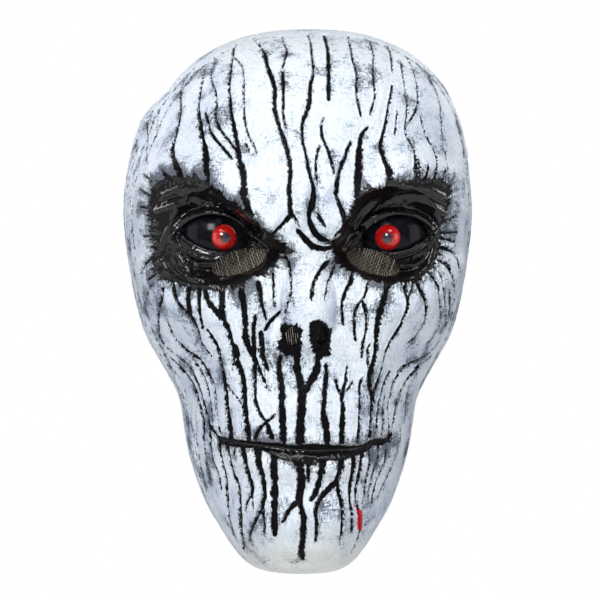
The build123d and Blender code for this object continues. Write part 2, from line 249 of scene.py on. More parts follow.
def lid_front(x, z, side, radius):
    """Front of the ball of the lids at each place."""
    away = (x - side * EYE[0]) ** 2 + (z - EYE[2]) ** 2
    inside = np.sqrt(np.maximum(radius**2 - away, 0))
    beyond = np.sqrt(np.maximum(away - radius**2, 0))
    return EYE[1] - inside + 1.2 * beyond


def nose_front(x, z):
    """Front of the short broken nose at each place, falling back beyond its outline."""
    px, pz = (x - NOSE[0]) / NOSE_HALF_WIDTH, (z - NOSE[2]) / NOSE_HALF_HEIGHT
    left = 1 - px**2 - pz**2
    rise = NOSE_HALF_WIDTH * np.sqrt(np.maximum(left, 0))
    return NOSE[1] - rise + 14 * np.sqrt(np.maximum(-left, 0))


def arc_outline(first, top, second, bottom):
    """The almond of two arcs through the corners, as points."""

    def arc(a, m, b):
        (ax, az), (mx, mz), (bx, bz) = a, m, b
        d = 2 * (ax * (mz - bz) + mx * (bz - az) + bx * (az - mz))
        aa, mm, bb = ax**2 + az**2, mx**2 + mz**2, bx**2 + bz**2
        ux = (aa * (mz - bz) + mm * (bz - az) + bb * (az - mz)) / d
        uz = (aa * (bx - mx) + mm * (ax - bx) + bb * (mx - ax)) / d
        radius = math.hypot(ax - ux, az - uz)
        start, middle, end = (math.atan2(pz - uz, px - ux) for px, pz in (a, m, b))
        while middle < start:
            middle += 2 * math.pi
        while end < start:
            end += 2 * math.pi
        if middle > end:
            end -= 2 * math.pi
        turns = np.linspace(start, end, 40)
        return np.stack([ux + radius * np.cos(turns), uz + radius * np.sin(turns)], 1)

    return np.concatenate([arc(first, top, second)[:-1], arc(second, bottom, first)[:-1]])


def ellipse_outline(centre, half_length, half_height, tilt):
    """An ellipse as points, tilted by degrees."""
    turns = np.linspace(0, 2 * math.pi, 72, endpoint=False)
    x, z = half_length * np.cos(turns), half_height * np.sin(turns)
    c, s = math.cos(math.radians(tilt)), math.sin(math.radians(tilt))
    return np.stack([centre[0] + c * x - s * z, centre[1] + s * x + c * z], 1)


def mirrored(outline):
    """The same outline on the face's other side."""
    return outline[::-1] * np.array([-1, 1])


LID_OPENING = arc_outline((61.0, 14.5), (44.0, 22.0), (25.0, 8.5), (41.0, 4.2))
SIGHT_OPENING = ellipse_outline((32.0, -0.4), 13.5, 5.5, -18)
NOSTRILS = [ellipse_outline((-8.2, -35.6), 3.0, 4.5, 10), ellipse_outline((6.4, -35.4), 3.0, 4.6, -8)]
HOLES = [LID_OPENING, SIGHT_OPENING, mirrored(LID_OPENING), mirrored(SIGHT_OPENING)] + NOSTRILS

# ---------------------------------------------------------------- modelling strokes, as seen
# height and softness | points
FORM_STROKES = """
3.4 6.5 | -69 44 -60 48.5 -50 48 -40 43.5 -30 35.5 -21 28.5 -12 21;
3.4 6.5 | 72 44 63 49 54 48.5 45 43 37 36 30 28 24 20;
1.4 3.0 | -58 45 -46 44.5 -36 39.5 -27 32 -18 24.5 -9 16;
1.4 3.0 | 62 46.5 52 45 43 41 35 36.5 29 26 23 15;
4.2 9.0 | -76 -4 -66 -15 -54 -22 -42 -25;
4.2 9.0 | 79 -2 69 -13 58 -20 46 -24;
-3.2 10.0 | -62 -42 -52 -48 -45 -58 -41 -72;
-3.2 10.0 | 66 -42 56 -48 49 -57 44 -72;
1.8 5.0 | -16 -20 -26 -34 -33 -48 -37 -62 -38 -76;
1.8 5.0 | 20 -20 30 -32 37 -46 41 -60 43 -76;
-1.6 4.0 | -15 -26 -20 -38 -23 -52 -25 -64;
-1.6 4.0 | 20 -26 26 -38 28.5 -50 30 -62;
2.6 13.0 | -22 -76 0 -74 26 -76;
1.5 4.0 | -34 -85 -22 -86 -8 -87 8 -87.5 24 -88 36 -86;
-2.8 2.4 | -38 -88.5 -30 -90 -20 -91 -10 -92.5 0 -94 10 -94.5 20 -94 30 -93 38 -90 46 -88.5;
2.2 4.4 | -32 -97 -20 -99 -8 -102.5 8 -104.5 22 -102 34 -98.5;
-1.6 6.0 | -26 -109 -8 -112 10 -112.5 28 -109;
2.8 13.0 | -12 -130 2 -132 16 -130;
-1.2 4.0 | -25 -118 -25 -130 -22 -142;
-1.0 4.0 | 29 -116 30 -128 26 -142;
-1.6 5.0 | -36 -92 -36 -104 -34 -118;
-1.6 5.0 | 42 -92 41 -104 37 -118;
-1.8 2.2 | 8 37 7.5 30 6 25 6.5 20 9 15 13 11.5;
-1.8 2.2 | 19 36 21 30 23.5 24 23.5 19 20 14;
1.6 3.0 | 13 34 14 28 15 22 14 17;
1.4 2.6 | 3 33 1.5 26 2 20;
1.4 2.6 | 26 31 28 25 27 19;
-1.4 2.0 | 0 17 4 12 8 8.5 13 7 18 8;
-1.3 2.2 | -4 24 -7 19.5 -10 16.5 -13 14;
2.0 4.0 | 3 8 4 -2 4 -12;
-1.0 3.0 | -9 2 -9 -10 -9 -22;
-1.0 3.0 | 15 2 15.5 -8 16 -20;
-1.6 2.4 | -6 -23 -10 -27 -14 -31 -16 -36;
-1.6 2.4 | 13.5 -24 17 -28 19.5 -33;
1.2 3.0 | -11 -32 -12.5 -38 -10 -44;
1.2 3.0 | 16.5 -31 18.5 -37 16.5 -44;
1.0 2.0 | 3.5 -34 3.8 -40 4 -46
"""
# inside and round the sockets, on the mask's left as seen from in front and then on its right
FOLD_STROKES = """
1.5 1.1 | -63 13 -58.5 19.5 -52 23.5 -44 25 -36 23.5 -29.5 20 -24 15.5 -20 10;
-1.0 0.9 | -64 16 -59.5 22.5 -52.5 26.8 -44 28.2 -35 26.6 -27.5 22.5 -21.5 17;
1.2 0.8 | -57 16.5 -51 20.5 -44 22.4 -37 21.6 -31 18.5;
2.0 3.2 | -48 30 -42 29.5 -36 27.5 -30 24 -25 20;
2.0 3.0 | 54 31 47 30 41 26.5 35.5 21.5 31 17;
1.3 1.5 | -66 34 -58 37.5 -48 36.5 -39 33 -31 28.5 -24 24 -17 17.5;
-1.0 1.0 | -68 31 -60 33.5 -50 32.5 -42 30.5;
1.0 1.0 | -70 26 -62 28.5 -54 29.5;
0.9 0.9 | -68 8 -65.5 15 -61 21.5;
1.2 0.9 | -62.5 11.5 -58 8 -53 4.5 -48 2.5 -42 1.8 -37 2.8;
1.0 0.8 | -58 11.5 -53 7.6 -47.5 5 -42 4;
1.1 0.9 | -55 -.5 -49 -1.8 -43 -1.4 -39 1;
1.4 1.2 | -59 -3 -54 -7.5 -47 -9.2 -38 -8 -30 -7 -22 -6.5 -16 -3.5 -13 1.5;
1.3 1.0 | -68 2 -65 -3.5 -60 -8.3 -53 -11 -45 -12 -36 -11.6 -27 -10.2 -20 -8;
0.9 1.0 | -16 6.5 -19 9.5 -22 11.5;
0.9 0.8 | -25 13.5 -22.5 9 -19.5 6.5;
1.0 0.9 | -70 20 -73.5 21.5;
1.0 0.9 | -70 15.5 -74 16;
1.0 0.9 | -70 10 -74 10;
1.0 0.9 | -69.5 5 -73 4;
1.0 0.9 | -68 0 -71.5 -2;
1.0 0.9 | -65 -4.5 -68 -7.5;
1.5 1.1 | 69.5 15 65.5 20 60 23.5 53 25 45 24.5 38 21.5 32 17 28 11.5;
-1.0 0.9 | 71 18.5 66 23.8 60 27 52.5 28.3 44 27.4 37 24.2 31 19.5;
1.2 0.8 | 64 17 58 20.8 51 22.5 44.5 21.6 39 19;
1.3 1.3 | 73 33.5 66 37.5 57 38.5 48 36.5 40 31.5 33 24.5 27 16.5;
-1.0 1.0 | 74 29 67 33 58 34.5 50 33.5;
1.0 0.9 | 74 24.5 67 29.5 60 31.5 53 31.5;
0.9 0.9 | 67 9 70 14 72.5 19;
1.2 0.9 | 66.5 11 62 7.5 57 4.6 51 2.8 46 2.4 42 3.4;
1.0 0.8 | 63 10.5 57.5 7 52 5 46.5 4.4;
1.1 0.9 | 60 -1.5 54 -2.4 48 -1.6 44 1;
1.4 1.2 | 65 -2.5 60 -6.8 53 -8.6 45 -8 37 -6.8 30 -4.6 25 -1 23 3;
1.2 1.0 | 70 1 67.5 -4 62.5 -8.6 56 -10.8 48 -11.4 40 -10.2 32 -8;
0.9 1.0 | 24.5 7 26.5 10.5 28 13;
0.9 0.8 | 31.5 12.5 29 8.5 27 5.5;
1.0 0.9 | 72.5 20 77 22;
1.0 0.9 | 72.5 14.5 78 15.2;
1.0 0.9 | 72.5 9.5 77.5 8.6;
1.0 0.9 | 71 4 75.5 1.4;
1.0 0.9 | 69 -1 72.5 -4.6
"""
SOCKETS = [
    pairs(
        "-72.5 37 -69 40.5 -64 42.5 -58 43 -52 42 -46 41 -41 37.5 -37 35 -32 31 -27 27.5 -23.5 23.5 -19.5 20.5"
        " -15 16.5 -10 12.5 -6 9.5 -2.5 7.5 -1 5.5 -5 3.5 -8.5 3.8 -10.5 0.5 -13 -2 -17 -5.5 -22 -8.5 -27 -11.5"
        " -33 -12.8 -39 -14 -46 -13.3 -52 -12.8 -57 -11 -62 -10.3 -67 -8 -71 -4 -71.5 2 -72 8 -73.5 14 -72.5 20"
        " -74 26 -74 31"
    ),
    pairs(
        "17 9 21 13.5 24.5 20 27.5 27.5 29.5 33 32.5 36.5 37 37.5 42 38.5 47 41.5 53 41.5 58 42 63 43.5 68 43"
        " 73 41 76.5 36.5 76 30 75 24.5 73.5 19 72.5 13 71.5 7 70.5 1.5 67 -3.5 62.5 -8 56 -10 49 -10.8 43 -10"
        " 37 -9.2 31.5 -7 27 -4.5 23 -2.5 19.5 1 18 4"
    ),
]
NOSE_HOLLOWS = [
    pairs(
        "-6.5 -31 -3 -31.4 0 -31.2 1.8 -34 1.2 -38 1.6 -42 0 -45.5 -3.5 -45 -5 -46 -8 -43 -9 -40.5 -6.6 -37"
        " -7 -34"
    ),
    pairs(
        "7.4 -30.5 10 -29 13 -29.6 16 -33 16.6 -37 15.5 -41 15.5 -45 12.5 -46.5 9.5 -45 8.3 -41.5 7 -37"
        " 6.6 -33"
    ),
]
MOUTH = pairs(
    "-37.5 -87 -34 -88 -30 -88.5 -25 -89 -20 -89.5 -15 -90 -10 -90.3 -5 -91 0 -91.3 5 -91 10 -90.8 15 -91"
    " 20 -91.3 25 -91.8 30 -91.8 34 -91 37 -89 40 -88 43 -88.5 46 -87.3 46.5 -89.3 42 -90.2 38 -90.8"
    " 34.5 -94 31 -95.8 26 -97.3 21 -98.8 16 -98.4 12 -98.6 9 -100.8 5 -100.6 1 -99.4 -4 -98.6 -8 -97.8"
    " -12 -95.8 -15 -94 -19 -92.6 -24 -91.9 -30 -91.7 -34 -90.8 -38 -89.8"
)


def stroke_rows(table):
    """Each row of a table, as the numbers before its bar and the points after it."""
    for row in table.split(";"):
        sizes, points = row.split("|")
        yield [float(size) for size in sizes.split()], pairs(points)


def carve(strokes, x, z, front):
    """Sum of the strokes' heights at each seen place of the front of the face."""
    height = np.zeros(x.shape)
    for (rise, soft), points in stroke_rows(strokes):
        low, high = points.min(0) - 3 * soft, points.max(0) + 3 * soft
        near = front & (x > low[0]) & (x < high[0]) & (z > low[1]) & (z < high[1])
        if not near.any():
            continue
        smooth_line = resample(points, 2.0)[0] if soft < 4 else points
        gap = polyline_distance(x[near], z[near], smooth_line)
        height[near] += rise * np.exp(-((gap / soft) ** 2))
    return height


grid = base_grid()
normal = grid_normals(grid)
across, up = as_seen(grid)
front = normal[..., 1] < -0.08
facing_us = smoothstep(0.10, 0.50, -normal[..., 1])
grid = grid + normal * (carve(FORM_STROKES, across, up, front) * facing_us)[..., None]
across, up = as_seen(grid)
for side, outline in zip((-1, 1), SOCKETS):
    x, z = grid[..., 0], grid[..., 2]
    here = (x * side > -2) & front & (up > -22) & (up < 56)
    inward = np.zeros(x.shape)
    inward[here] = smoothstep(1.5, -5.5, polygon_distance(across[here], up[here], outline))
    deeper = np.maximum(smooth_max(grid[..., 1], orbit_back(x, z, side), 3.0) - grid[..., 1], 0)
    y = grid[..., 1] + deeper * inward
    lid = lid_front(x, z, side, LID_RADIUS)
    grid[..., 1] = np.where(here, smooth_min(y, np.maximum(lid, y - 20), 2.2), y)
nose = nose_front(grid[..., 0], grid[..., 2])
near_nose = (np.abs(grid[..., 0]) < 22) & (np.abs(grid[..., 2] - NOSE[2]) < 32) & front
grid[..., 1] = np.where(near_nose, smooth_min(grid[..., 1], nose, 6.0), grid[..., 1])
for axis in range(3):
    grid[..., axis] = np.where(front, blurred(grid[..., axis], 2), grid[..., axis])
normal = grid_normals(grid)
across, up = as_seen(grid)
front = normal[..., 1] < 0.12
folds = carve(FOLD_STROKES, across, up, front)
smooth_grid = grid.copy()
grid = grid + normal * folds[..., None]

# ---------------------------------------------------------------- the painted cracks, as seen: widths | points
CRACKS = """
.8 1.3 2.5 | -53.5 94.5 -56 91 -57.5 87.5 -58 82 -58 76 -58.5 71 -60 65 -61.5 60 -62.5 56 -62 53 -60.5 48.5
    -58 42;
.7 1.6 2.2 | -45 99 -46 96 -47 91 -48 86 -49 80 -49.3 76 -48.5 71 -47.8 66 -47 61 -46 57 -45.3 52 -45.4 47
    -44.5 39;
.8 1 1 | -41.5 103 -40.8 101 -41 98.5 -42.5 95.5 -43 92.5 -42 89 -40.5 85 -40 79 -40.7 74 -40 69.5 -38 66
    -34.5 61.5 -31 57.5 -29.5 55;
1 1 | -46 75 -44.5 71 -43.5 66 -41 62 -37.5 58 -34.5 54.5 -32 51.5;
1.2 1.6 2.5 | -30 109.5 -31.5 107 -32 103.5 -32.8 99 -33.5 93 -34 87 -33.5 81 -33 75 -32 70 -31 65 -30 60
    -29.5 55.5 -28.5 50 -27 46 -26.5 41 -26.5 36 -26 31 -24.5 27 -22.5 23;
.7 .7 | -31.5 102.5 -28.5 100 -27 97 -26.5 91 -26.5 85 -26.5 78 -26 71 -25.2 67 -24 63 -21.5 59 -20 54.5;
.4 .4 | -25.5 60 -23.5 55;
.8 2.5 1.7 1.4 1.4 1.6 | -22 112 -20 110 -16.5 106 -15.5 102 -14.5 97 -12.5 92.5 -11 88 -11.2 82 -11.2 77
    -10 72 -8.5 67 -6.5 62 -5 57 -4 52 -3.3 47 -3.3 42 -4 37 -3.5 32 -3.5 27 -2.5 23.5;
1.6 1.2 .6 | -3 24 -6 20.5 -9 17.5 -12 14.5 -16 12;
1.4 .5 | -3 25 0 21 1.5 18;
.7 1.6 .7 | -7 113 -6.5 109.5 -4.7 106 -6 102 -7.3 97 -7 92 -6.7 87 -6.8 81 -7 76.5 -6.7 72 -5 67;
1 1.2 1.8 .9 1 2 | 5.3 114.5 7 110 7.5 104 8.3 98 8 93 6.5 88 6.5 83 5.8 78 4.3 74 2.8 70.5 2.5 65 3 60 4.5
    55 5.5 49 6.5 44 8 39.5 8.7 35 8 30 7 26;
1.8 2.2 2 | 13.5 114 14.5 111 15.5 107 16 100 16 93 16 87 16 81;
1 1 | 13.5 73 12.3 69.5 12.3 65 13.5 61 15.5 57 17 52 18 48 19 44;
.8 .8 | 11.5 59 10.3 55 9.5 50 9.5 46 10 42 10 38;
1.2 1 .9 | 25.5 114 26 110.5 27.5 105 28 101 29.3 97.5 30.3 93 29.7 89 30 85 30.5 80.5 31.5 77 32.2 73;
.9 .9 | 36 111 37.5 108 38.5 104 38.2 98 38.4 92 39 87 39.3 83 38 78.5 36.7 74;
1 2.5 1.8 | 36 68.5 34.5 66.5 32.5 64.5 32 61 31.5 57 31.3 52 31 47 30.7 42 30.3 37 30 32;
1.2 1.2 1.8 | 27.5 61 25.5 57.5 24.5 54 23 50 21.5 46 20.5 42 20 38 19.5 34;
1 1.2 1 | 44 109.5 46 107 47 104 47.7 99 47.8 95;
1 1.3 2 | 47.8 90 47.5 86 46.8 82 45.8 77 45 72 44 67 42.7 62 42 58.5 43 54.5 44.5 51 46 47.5 47 42;
.9 .9 | 52 101.5 52.5 97 53.5 91.5 54.3 87 55 82 55.3 77 55 72 54.3 68 54.5 64.5 56 61.5 58.5 58 59.5 54
    59.5 50 59 45;
.9 .9 | 54.5 103.5 56.5 100 58.5 96 60 91 60.5 86 60.7 81 60 77 58 73 55.5 69.5;
.8 .6 | 50.5 77 50 72 49.5 67 49 64;
.7 .7 | 65.5 95 67 91 69.5 86 71 82 72 77 72.3 71 72.7 66 73 61 74 56 75.5 51 76 46 76 41 75 36;
.9 .9 | 62 74 63 68.5 65 63 68 58 70 53 70.5 48 69.5 42;
1 1 | 60.5 53 62 49 62 43;
.5 .5 | -68.5 77 -69.3 72 -69.7 67 -70 62;
.4 .4 | -74.5 70 -74.5 62 -75 55 -74.5 48;
.8 1.6 2 | 8 37 7.5 31 6 26 6.2 21 8.5 16 12 12.5 16 11;
.8 1.6 1.4 | 19 36 21 30 23.5 24 24.3 20 22.5 16.5 19 13.5;
1.4 1 | 10 25 12 21.5 15 17;
1.6 2 1.2 | 0 17 4 12 8 8 14 7 18 8;
1.5 1.2 1 | 16 1 13 -2 10.5 -6 8.5 -10 7.5 -14 7.5 -19;
1 .5 | 19 -1 17.5 -5 15.5 -10 14.5 -15 14 -19;
.8 .8 | -13 -1 -12 -5 -11.5 -11 -11.5 -17 -11 -22;
1.8 1.4 .8 | -19.5 -9 -18.5 -14 -18 -19 -16.5 -24 -15 -29;
1 .9 .6 | -6 4 -4 0 -3 -5 -2.7 -10 -3 -15 -4.5 -20 -6 -26 -6 -30;
1 1.2 1 | -7 -23 -11 -27 -14 -30 -16 -34;
1.4 1 .8 | 26 12 22 10 18 8;
1.2 1.2 .5 | -66.5 -11 -67 -17 -68.5 -21 -69 -26 -69 -31 -68.5 -36 -67.5 -38.5 -65 -42 -61 -45.5;
1.5 1.2 .5 | -62 -10 -61 -16 -59.5 -20 -56.5 -23.5 -53.5 -26 -51 -29 -49.5 -33 -48.5 -37 -47 -40.5 -44 -44.5
    -42 -47;
2 1.6 | -54 -12 -54.5 -18 -54 -22 -53 -26;
1.8 1.4 1 | -49 -12 -49 -18 -49 -22 -48.5 -26 -47.5 -30 -47 -33;
1.5 2 1.6 .6 | -46 -13 -45 -18 -42.5 -22 -39 -25.5 -36.5 -28.5 -34.5 -33 -33 -38 -32 -42 -31.5 -46 -31.5 -50
    -32 -53.5;
2.2 2.2 | -37.5 -13 -37.5 -19 -37.5 -24 -36.5 -28;
2.2 2 .8 | -28 -11 -27.5 -17 -26.5 -22 -26 -27 -26 -32 -25.5 -37 -24.5 -41 -22.5 -45 -20.5 -49 -18.5 -54 -16
    -59.5 -15 -63;
1 1.5 1 | -65.5 -27 -63 -33 -61 -37 -58.5 -40 -55.5 -43 -51.5 -46 -48 -48.5 -45.5 -52 -43.5 -56 -41.5 -60
    -40.5 -65 -40 -71 -39.5 -77 -39 -82 -37.5 -85.5 -35 -87.5;
1.5 1.8 2.2 | -45 -33 -42.5 -37 -40.5 -40 -38.5 -45 -37.5 -50 -36.5 -56 -35.8 -62 -35.3 -68 -34.5 -74 -33.5
    -80 -33 -85 -32.5 -89;
.6 .5 | -36 -59 -31 -66 -27 -71;
1.5 1.8 2.2 | -32.5 -40 -30 -43 -29.5 -50 -27.5 -55 -26.5 -60 -26.3 -65 -26 -71 -25.5 -77 -24.8 -82 -24 -89;
1.5 1.4 1.2 | -20.5 -26 -21.5 -32 -21.5 -38 -21.3 -44 -21 -50 -21 -56 -21 -62 -21 -68 -19.5 -73 -17.5 -77
    -15.5 -79.5;
1.8 2.2 1 | -18 -34 -17.5 -40 -17.5 -46 -16 -50 -14 -54;
1.5 2.2 2.5 | -8 -46 -9 -51 -8.3 -57 -7.5 -63 -7.5 -69 -7.3 -75 -7 -81 -6.8 -90;
.8 1.2 1.5 | -10.5 -75.5 -13 -78 -15.5 -79.5 -18 -82 -20 -85 -21 -89;
1.2 2 | -15.5 -79.5 -14 -83 -12 -89;
2.5 2.6 3 | 0 -44 .3 -50 .3 -54 1.5 -58 2.8 -63 2.5 -70 2 -77 1.8 -84 1.5 -91;
2 2.5 2 | 10.5 -46 10.5 -52 9 -56 6.5 -60 4 -65;
1.2 1.8 2.5 | 14.5 -50 14.8 -55 14.3 -61 13.8 -67 13.3 -73 14 -79 15 -84 15.5 -91;
1 1.6 2.2 | 25.5 -51 25 -55 24.5 -60 23.3 -64 22.5 -67 23.3 -71 23 -76 22.8 -81 22.8 -86 22.5 -91;
1 1 | 19.3 -58 20.3 -62 22 -66;
.7 .7 | 28 -59 26.5 -62.5 24 -64.5;
.6 .6 | -79 -16 -78.5 -22 -78.3 -28;
.6 .6 | -76.5 -12 -76 -18 -75.5 -24 -75.5 -31;
.6 .6 | -72 -10 -74 -14 -75 -19;
.9 .9 | 36 -9 35 -14 33.5 -18 30.5 -21 29 -25 28.7 -30 29 -36 29.5 -40;
1.2 .9 | 33 -19 34 -22 35 -26 35 -31 34.5 -36 33.3 -40 32.8 -45 32.5 -48;
1.5 .8 | 28 -5 27 -10 25 -13 23.5 -17 22.5 -22 22.7 -27 23.2 -32;
2 1.8 1.3 | 45.5 -10 45 -14 44 -18 42.5 -22 41 -27 40.5 -32 39.8 -38 39.7 -43 39.2 -48 37.5 -53 36.5 -56
    36.5 -60 37 -64 38 -67 37.5 -72 37 -78 36.8 -84 36 -90;
.8 .8 | 37 -40 35.5 -43 35.5 -48 36 -53;
1 1 | 40.5 -58 39.5 -62 38.5 -66;
1.2 .8 | 58.5 -9 58 -14 55.8 -17;
1.2 1.4 1.2 | 53.5 -11 55 -16 56 -19 55.5 -23 53.5 -28 51.5 -32 49 -36 46.5 -40 45 -44 43.8 -48 42.5 -53 41
    -58 40 -61;
1.5 1.2 .7 | 60 -9 62 -14 64.5 -18 65 -23 64.5 -28 62 -33 59 -37 55 -40.5;
1 1 .5 | 66 -4 69 -8 71 -12 71.5 -17 72 -22 72 -28 71 -33 68.5 -37 65.5 -40;
.5 .5 | 71 -4 73 -8 73.7 -14 74.3 -20 74.7 -27 74.5 -32;
.8 .8 | 75 1 77.5 -3 78.5 -8 79 -14 78.5 -20 77.5 -27;
1.8 1 | 76.5 -14 76.8 -20 76 -26;
1.3 1 | 70 8 74 7.5 78 6 80.5 2 81.5 -3;
1.2 1 | 70 2 74 0 76.5 -3 78 -7;
1.2 .8 | 71 12.5 75 12 80 10.5;
1.2 .8 | 71 15 76 15.5 81 15.5;
1.4 .8 | 71 20 75 20.5 80 24;
1.4 .8 | 60 41 60.5 47 60 52;
1.4 .8 | 64 41 66 47 66 50;
1.4 .8 | 68 40 70 46 70.5 50;
1.4 .8 | 72 38 74 44 75 48;
1.4 .8 | 75 35 77 41 79 43;
1.4 .6 | -72 40 -77 44.5;
1.2 .6 | -70 20 -75 21;
1.2 .6 | -71 4 -76 -1 -78 -6;
1.2 .6 | -70 -5 -75 -9;
1.4 .6 | -73 33 -79 37;
1.4 .6 | -64 41 -68 47;
1.4 .6 | -57 42 -58 47;
1.4 .6 | -51 41 -51.5 45.5;
1.2 .6 | -73.5 27 -78.5 28;
1.2 .6 | -73 13 -77.5 13.5;
.8 1.2 | -60.5 -46 -56 -49 -52.5 -53 -50 -58 -48.5 -62 -47 -67 -45.5 -72 -44.5 -77 -43.5 -81 -41.5 -84 -39.5
    -86.5 -37 -88;
.8 1.6 1.4 1 | -64 -46 -60 -50 -56 -54 -53 -58.5 -50.5 -63 -49 -68 -47.5 -74 -46 -80 -46.3 -86 -46 -92 -45.5
    -98 -44 -104 -43 -110;
.6 .6 | -65 -50 -61 -54 -57 -59 -55.3 -65 -55 -71 -54.7 -77 -54.3 -82;
1 1 | -50.5 -75 -50 -81 -50 -88 -49 -94 -48 -100 -47 -105 -45.5 -110 -44 -114;
.8 .8 | -52 -48 -48.5 -52 -46.5 -56 -44.7 -61 -43.5 -66 -42.5 -72 -42 -78 -41.7 -84;
1.2 1.2 | -44 -80 -43 -86 -43 -92 -42 -98 -40 -103 -38.5 -108 -37.5 -113;
1.3 1.3 | -38.5 -88 -38.3 -94 -37 -100 -35.5 -105 -35 -110 -34.5 -116 -34.3 -122 -33.5 -128 -32 -133 -30.5
    -138;
1.5 1.5 | -35 -90 -34 -95 -32.8 -100 -31.5 -105 -29.5 -109 -28.7 -114 -28.3 -120 -28 -126 -28 -132 -27 -138
    -26.5 -143;
2 1.8 | -27.5 -90 -26.5 -96 -25.5 -101 -24 -106 -22.7 -111 -22 -115;
1 .8 | -22.8 -114 -23.5 -117 -25 -120 -25.8 -124;
1 .8 | -22.3 -114 -22 -121 -21.7 -124;
2.5 1.8 1 | -20.5 -90 -19.5 -96 -19 -101 -17.5 -106 -16.5 -111 -16.3 -116 -17 -120 -18.5 -124 -21 -129 -23
    -134 -23.5 -139;
1.2 .8 | -17 -121 -16.7 -127 -16 -131 -16.3 -135;
2.8 2.4 1.8 | -11.5 -92 -11.5 -99 -11.3 -106 -11.2 -112 -11.2 -118 -11.2 -125 -11.2 -131 -11 -136.5;
3 1.8 2.2 | .8 -96 1.5 -103 2.5 -108 2 -113 1 -118 2 -122 3.5 -127 3.3 -133 3 -139 2 -144 3 -148.5;
1.8 1 | .5 -119 -3 -122.5 -5.5 -126 -7 -130;
1.6 .8 | 6.5 -97 5.7 -103 5.8 -107 6 -110.5;
2.6 2 1.4 | 12.5 -96 13 -102 12 -107 10.5 -112 9 -116 6.5 -119;
2.2 1.6 1 | 22 -96 22.5 -101 21.5 -105 20 -109 16.5 -112.5 13 -116 10.5 -120 9.3 -125 10 -130 10 -135 9.3
    -140;
1.5 .7 | 20.3 -109 21 -115 22.3 -120 23 -126 22.5 -132 22 -137 21.5 -141;
1.6 1.3 | 28.5 -95 28.5 -102 27.5 -107 26.5 -112 26.3 -117 27 -122 27.5 -127 27.3 -132 27.5 -135;
1.5 .8 | 33 -94 32 -102 30.5 -108 29.5 -113 29.5 -119 30.5 -123 31.3 -128 31.5 -134 29.5 -140 27 -145;
1.3 .9 | 36 -91 36.5 -99 35.5 -105 34.3 -110 33.5 -116 32.8 -122;
1 1 | 41 -90 40.5 -97 38.5 -103 36.8 -109 36 -114 35.5 -119;
.9 .9 | 45 -90 44 -99 41.5 -105 39.5 -110 38 -115 37 -121;
.7 .7 | 52 -80 51.8 -87 50.5 -94 48 -100 45.5 -106 42.5 -112 40 -118;
.6 .6 | 54.5 -90 54 -96 53 -101 51 -106;
.8 1 | 33.5 -57 31.5 -60 31.5 -66 31.5 -72 31.3 -78 31 -84 30.5 -91;
1 1 | 47 -53.5 45 -57 43 -61 42 -66 41 -71 40.3 -77 39.7 -83 38.5 -88;
.8 .8 | 58 -50 53.5 -53 50.5 -56 48 -60 47 -65 45.5 -70 45.5 -76 46 -81 46 -86 45.5 -88;
1.3 1.3 | 62 -51 57 -56 54 -60 51.5 -65 49.7 -70 49 -75 48 -81 47.3 -86 46.5 -88.5;
.8 .8 | 44 -66 43 -72 43 -79 42.5 -87;
.8 .8 | 73 -33 71.5 -38 70 -41 66.5 -45 62 -48 57 -50 52.5 -52 50 -55;
.5 .5 | 68 -46 63 -50 58.5 -53;
.6 .6 | 60 -55 56 -62 54.5 -68 54 -74 53.5 -80;
.9 .7 | -31 -92 -31.5 -95 -31 -98;
1.6 1.2 | 38 -89 41 -90.5 45 -89 47 -86.5
"""
# fine creases that the camera doesn't reach: on each side of the head, (depth in front of the rim, up)
SIDE_CRACKS = """
.9 .7 | 12 96 14.5 90 12.5 83 15.5 76 13 70 15.5 63 14 54 17.5 47 16 40;
.7 1.2 .9 | 26 102 28.5 95 25.5 88 28 80 26.5 73 30 66 28 58 30.5 51 28.5 44;
.9 1.3 .7 | 20 58 23 50 20.5 43 22.5 36 19.5 29 22 21 20 14 23 7 21 0;
.7 .7 | 32 48 34.5 42 32 36 34 28 32.5 22 35 16;
.8 1.1 .6 | 12 -14 15.5 -21 13.5 -28 18 -36 16.5 -44 19 -52 15.5 -60 17.5 -68;
.8 1.2 .6 | 24 -8 27.5 -16 25.5 -24 30 -33 27.5 -42 30.5 -50 26 -58 28 -66;
.8 .6 | 16 -72 14.5 -80 18 -87 15 -95 16.5 -103 12.5 -112;
.7 1.0 .6 | 31 -60 28.5 -68 31.5 -77 28.5 -86 31 -94 27.5 -103 25 -114;
.6 .6 | 20 -96 17 -104 18 -112 13 -121 10 -130;
.8 1.1 .7 | 36 108 38.5 100 36 92 39.5 83 37 75 40.5 66 39 58 42 50;
.7 .9 | 18.5 106 20.5 99 18 92 21.5 84 19.5 77 23 69;
.6 .6 | 14 64 18.5 58 19 50 22 44;
.6 .6 | 8 92 9.5 82 7 74 9.5 65 8 56;
.6 .6 | 9 46 7.5 38 10.5 29 8.5 20 10 12;
.9 1.2 .9 | 38 44 35.5 37 38.5 29 35 21 37.5 13 35 5 37.5 -3;
.7 .7 | 28.5 34 26 26 29 18 26.5 10 29.5 2 28 -5;
.6 .6 | 13.5 8 15.5 0 12 -8;
.6 .6 | 8 2 6.5 -8 9.5 -17 7 -27 9 -36;
.8 1.0 .8 | 36 -12 38.5 -20 35 -29 38 -38 34.5 -47 37.5 -56 35.5 -64;
.7 .5 | 27.5 -42 24 -48 24.5 -56 22 -63;
.6 .6 | 9 -42 11 -51 8 -60 10.5 -70 9 -78;
.8 1.0 .7 | 22 -68 24.5 -77 21.5 -86 25 -95 22.5 -104 20 -116;
.8 1.0 .6 | 37 -72 39.5 -81 36 -90 38.5 -99 34.5 -108 30 -120;
.6 .5 | 10 -86 8.5 -95 11 -104 8 -112;
.6 .5 | 20.5 14 25 8 25.5 0 28 -6;
.5 .5 | 28.5 -86 33.5 -93 34 -101
"""


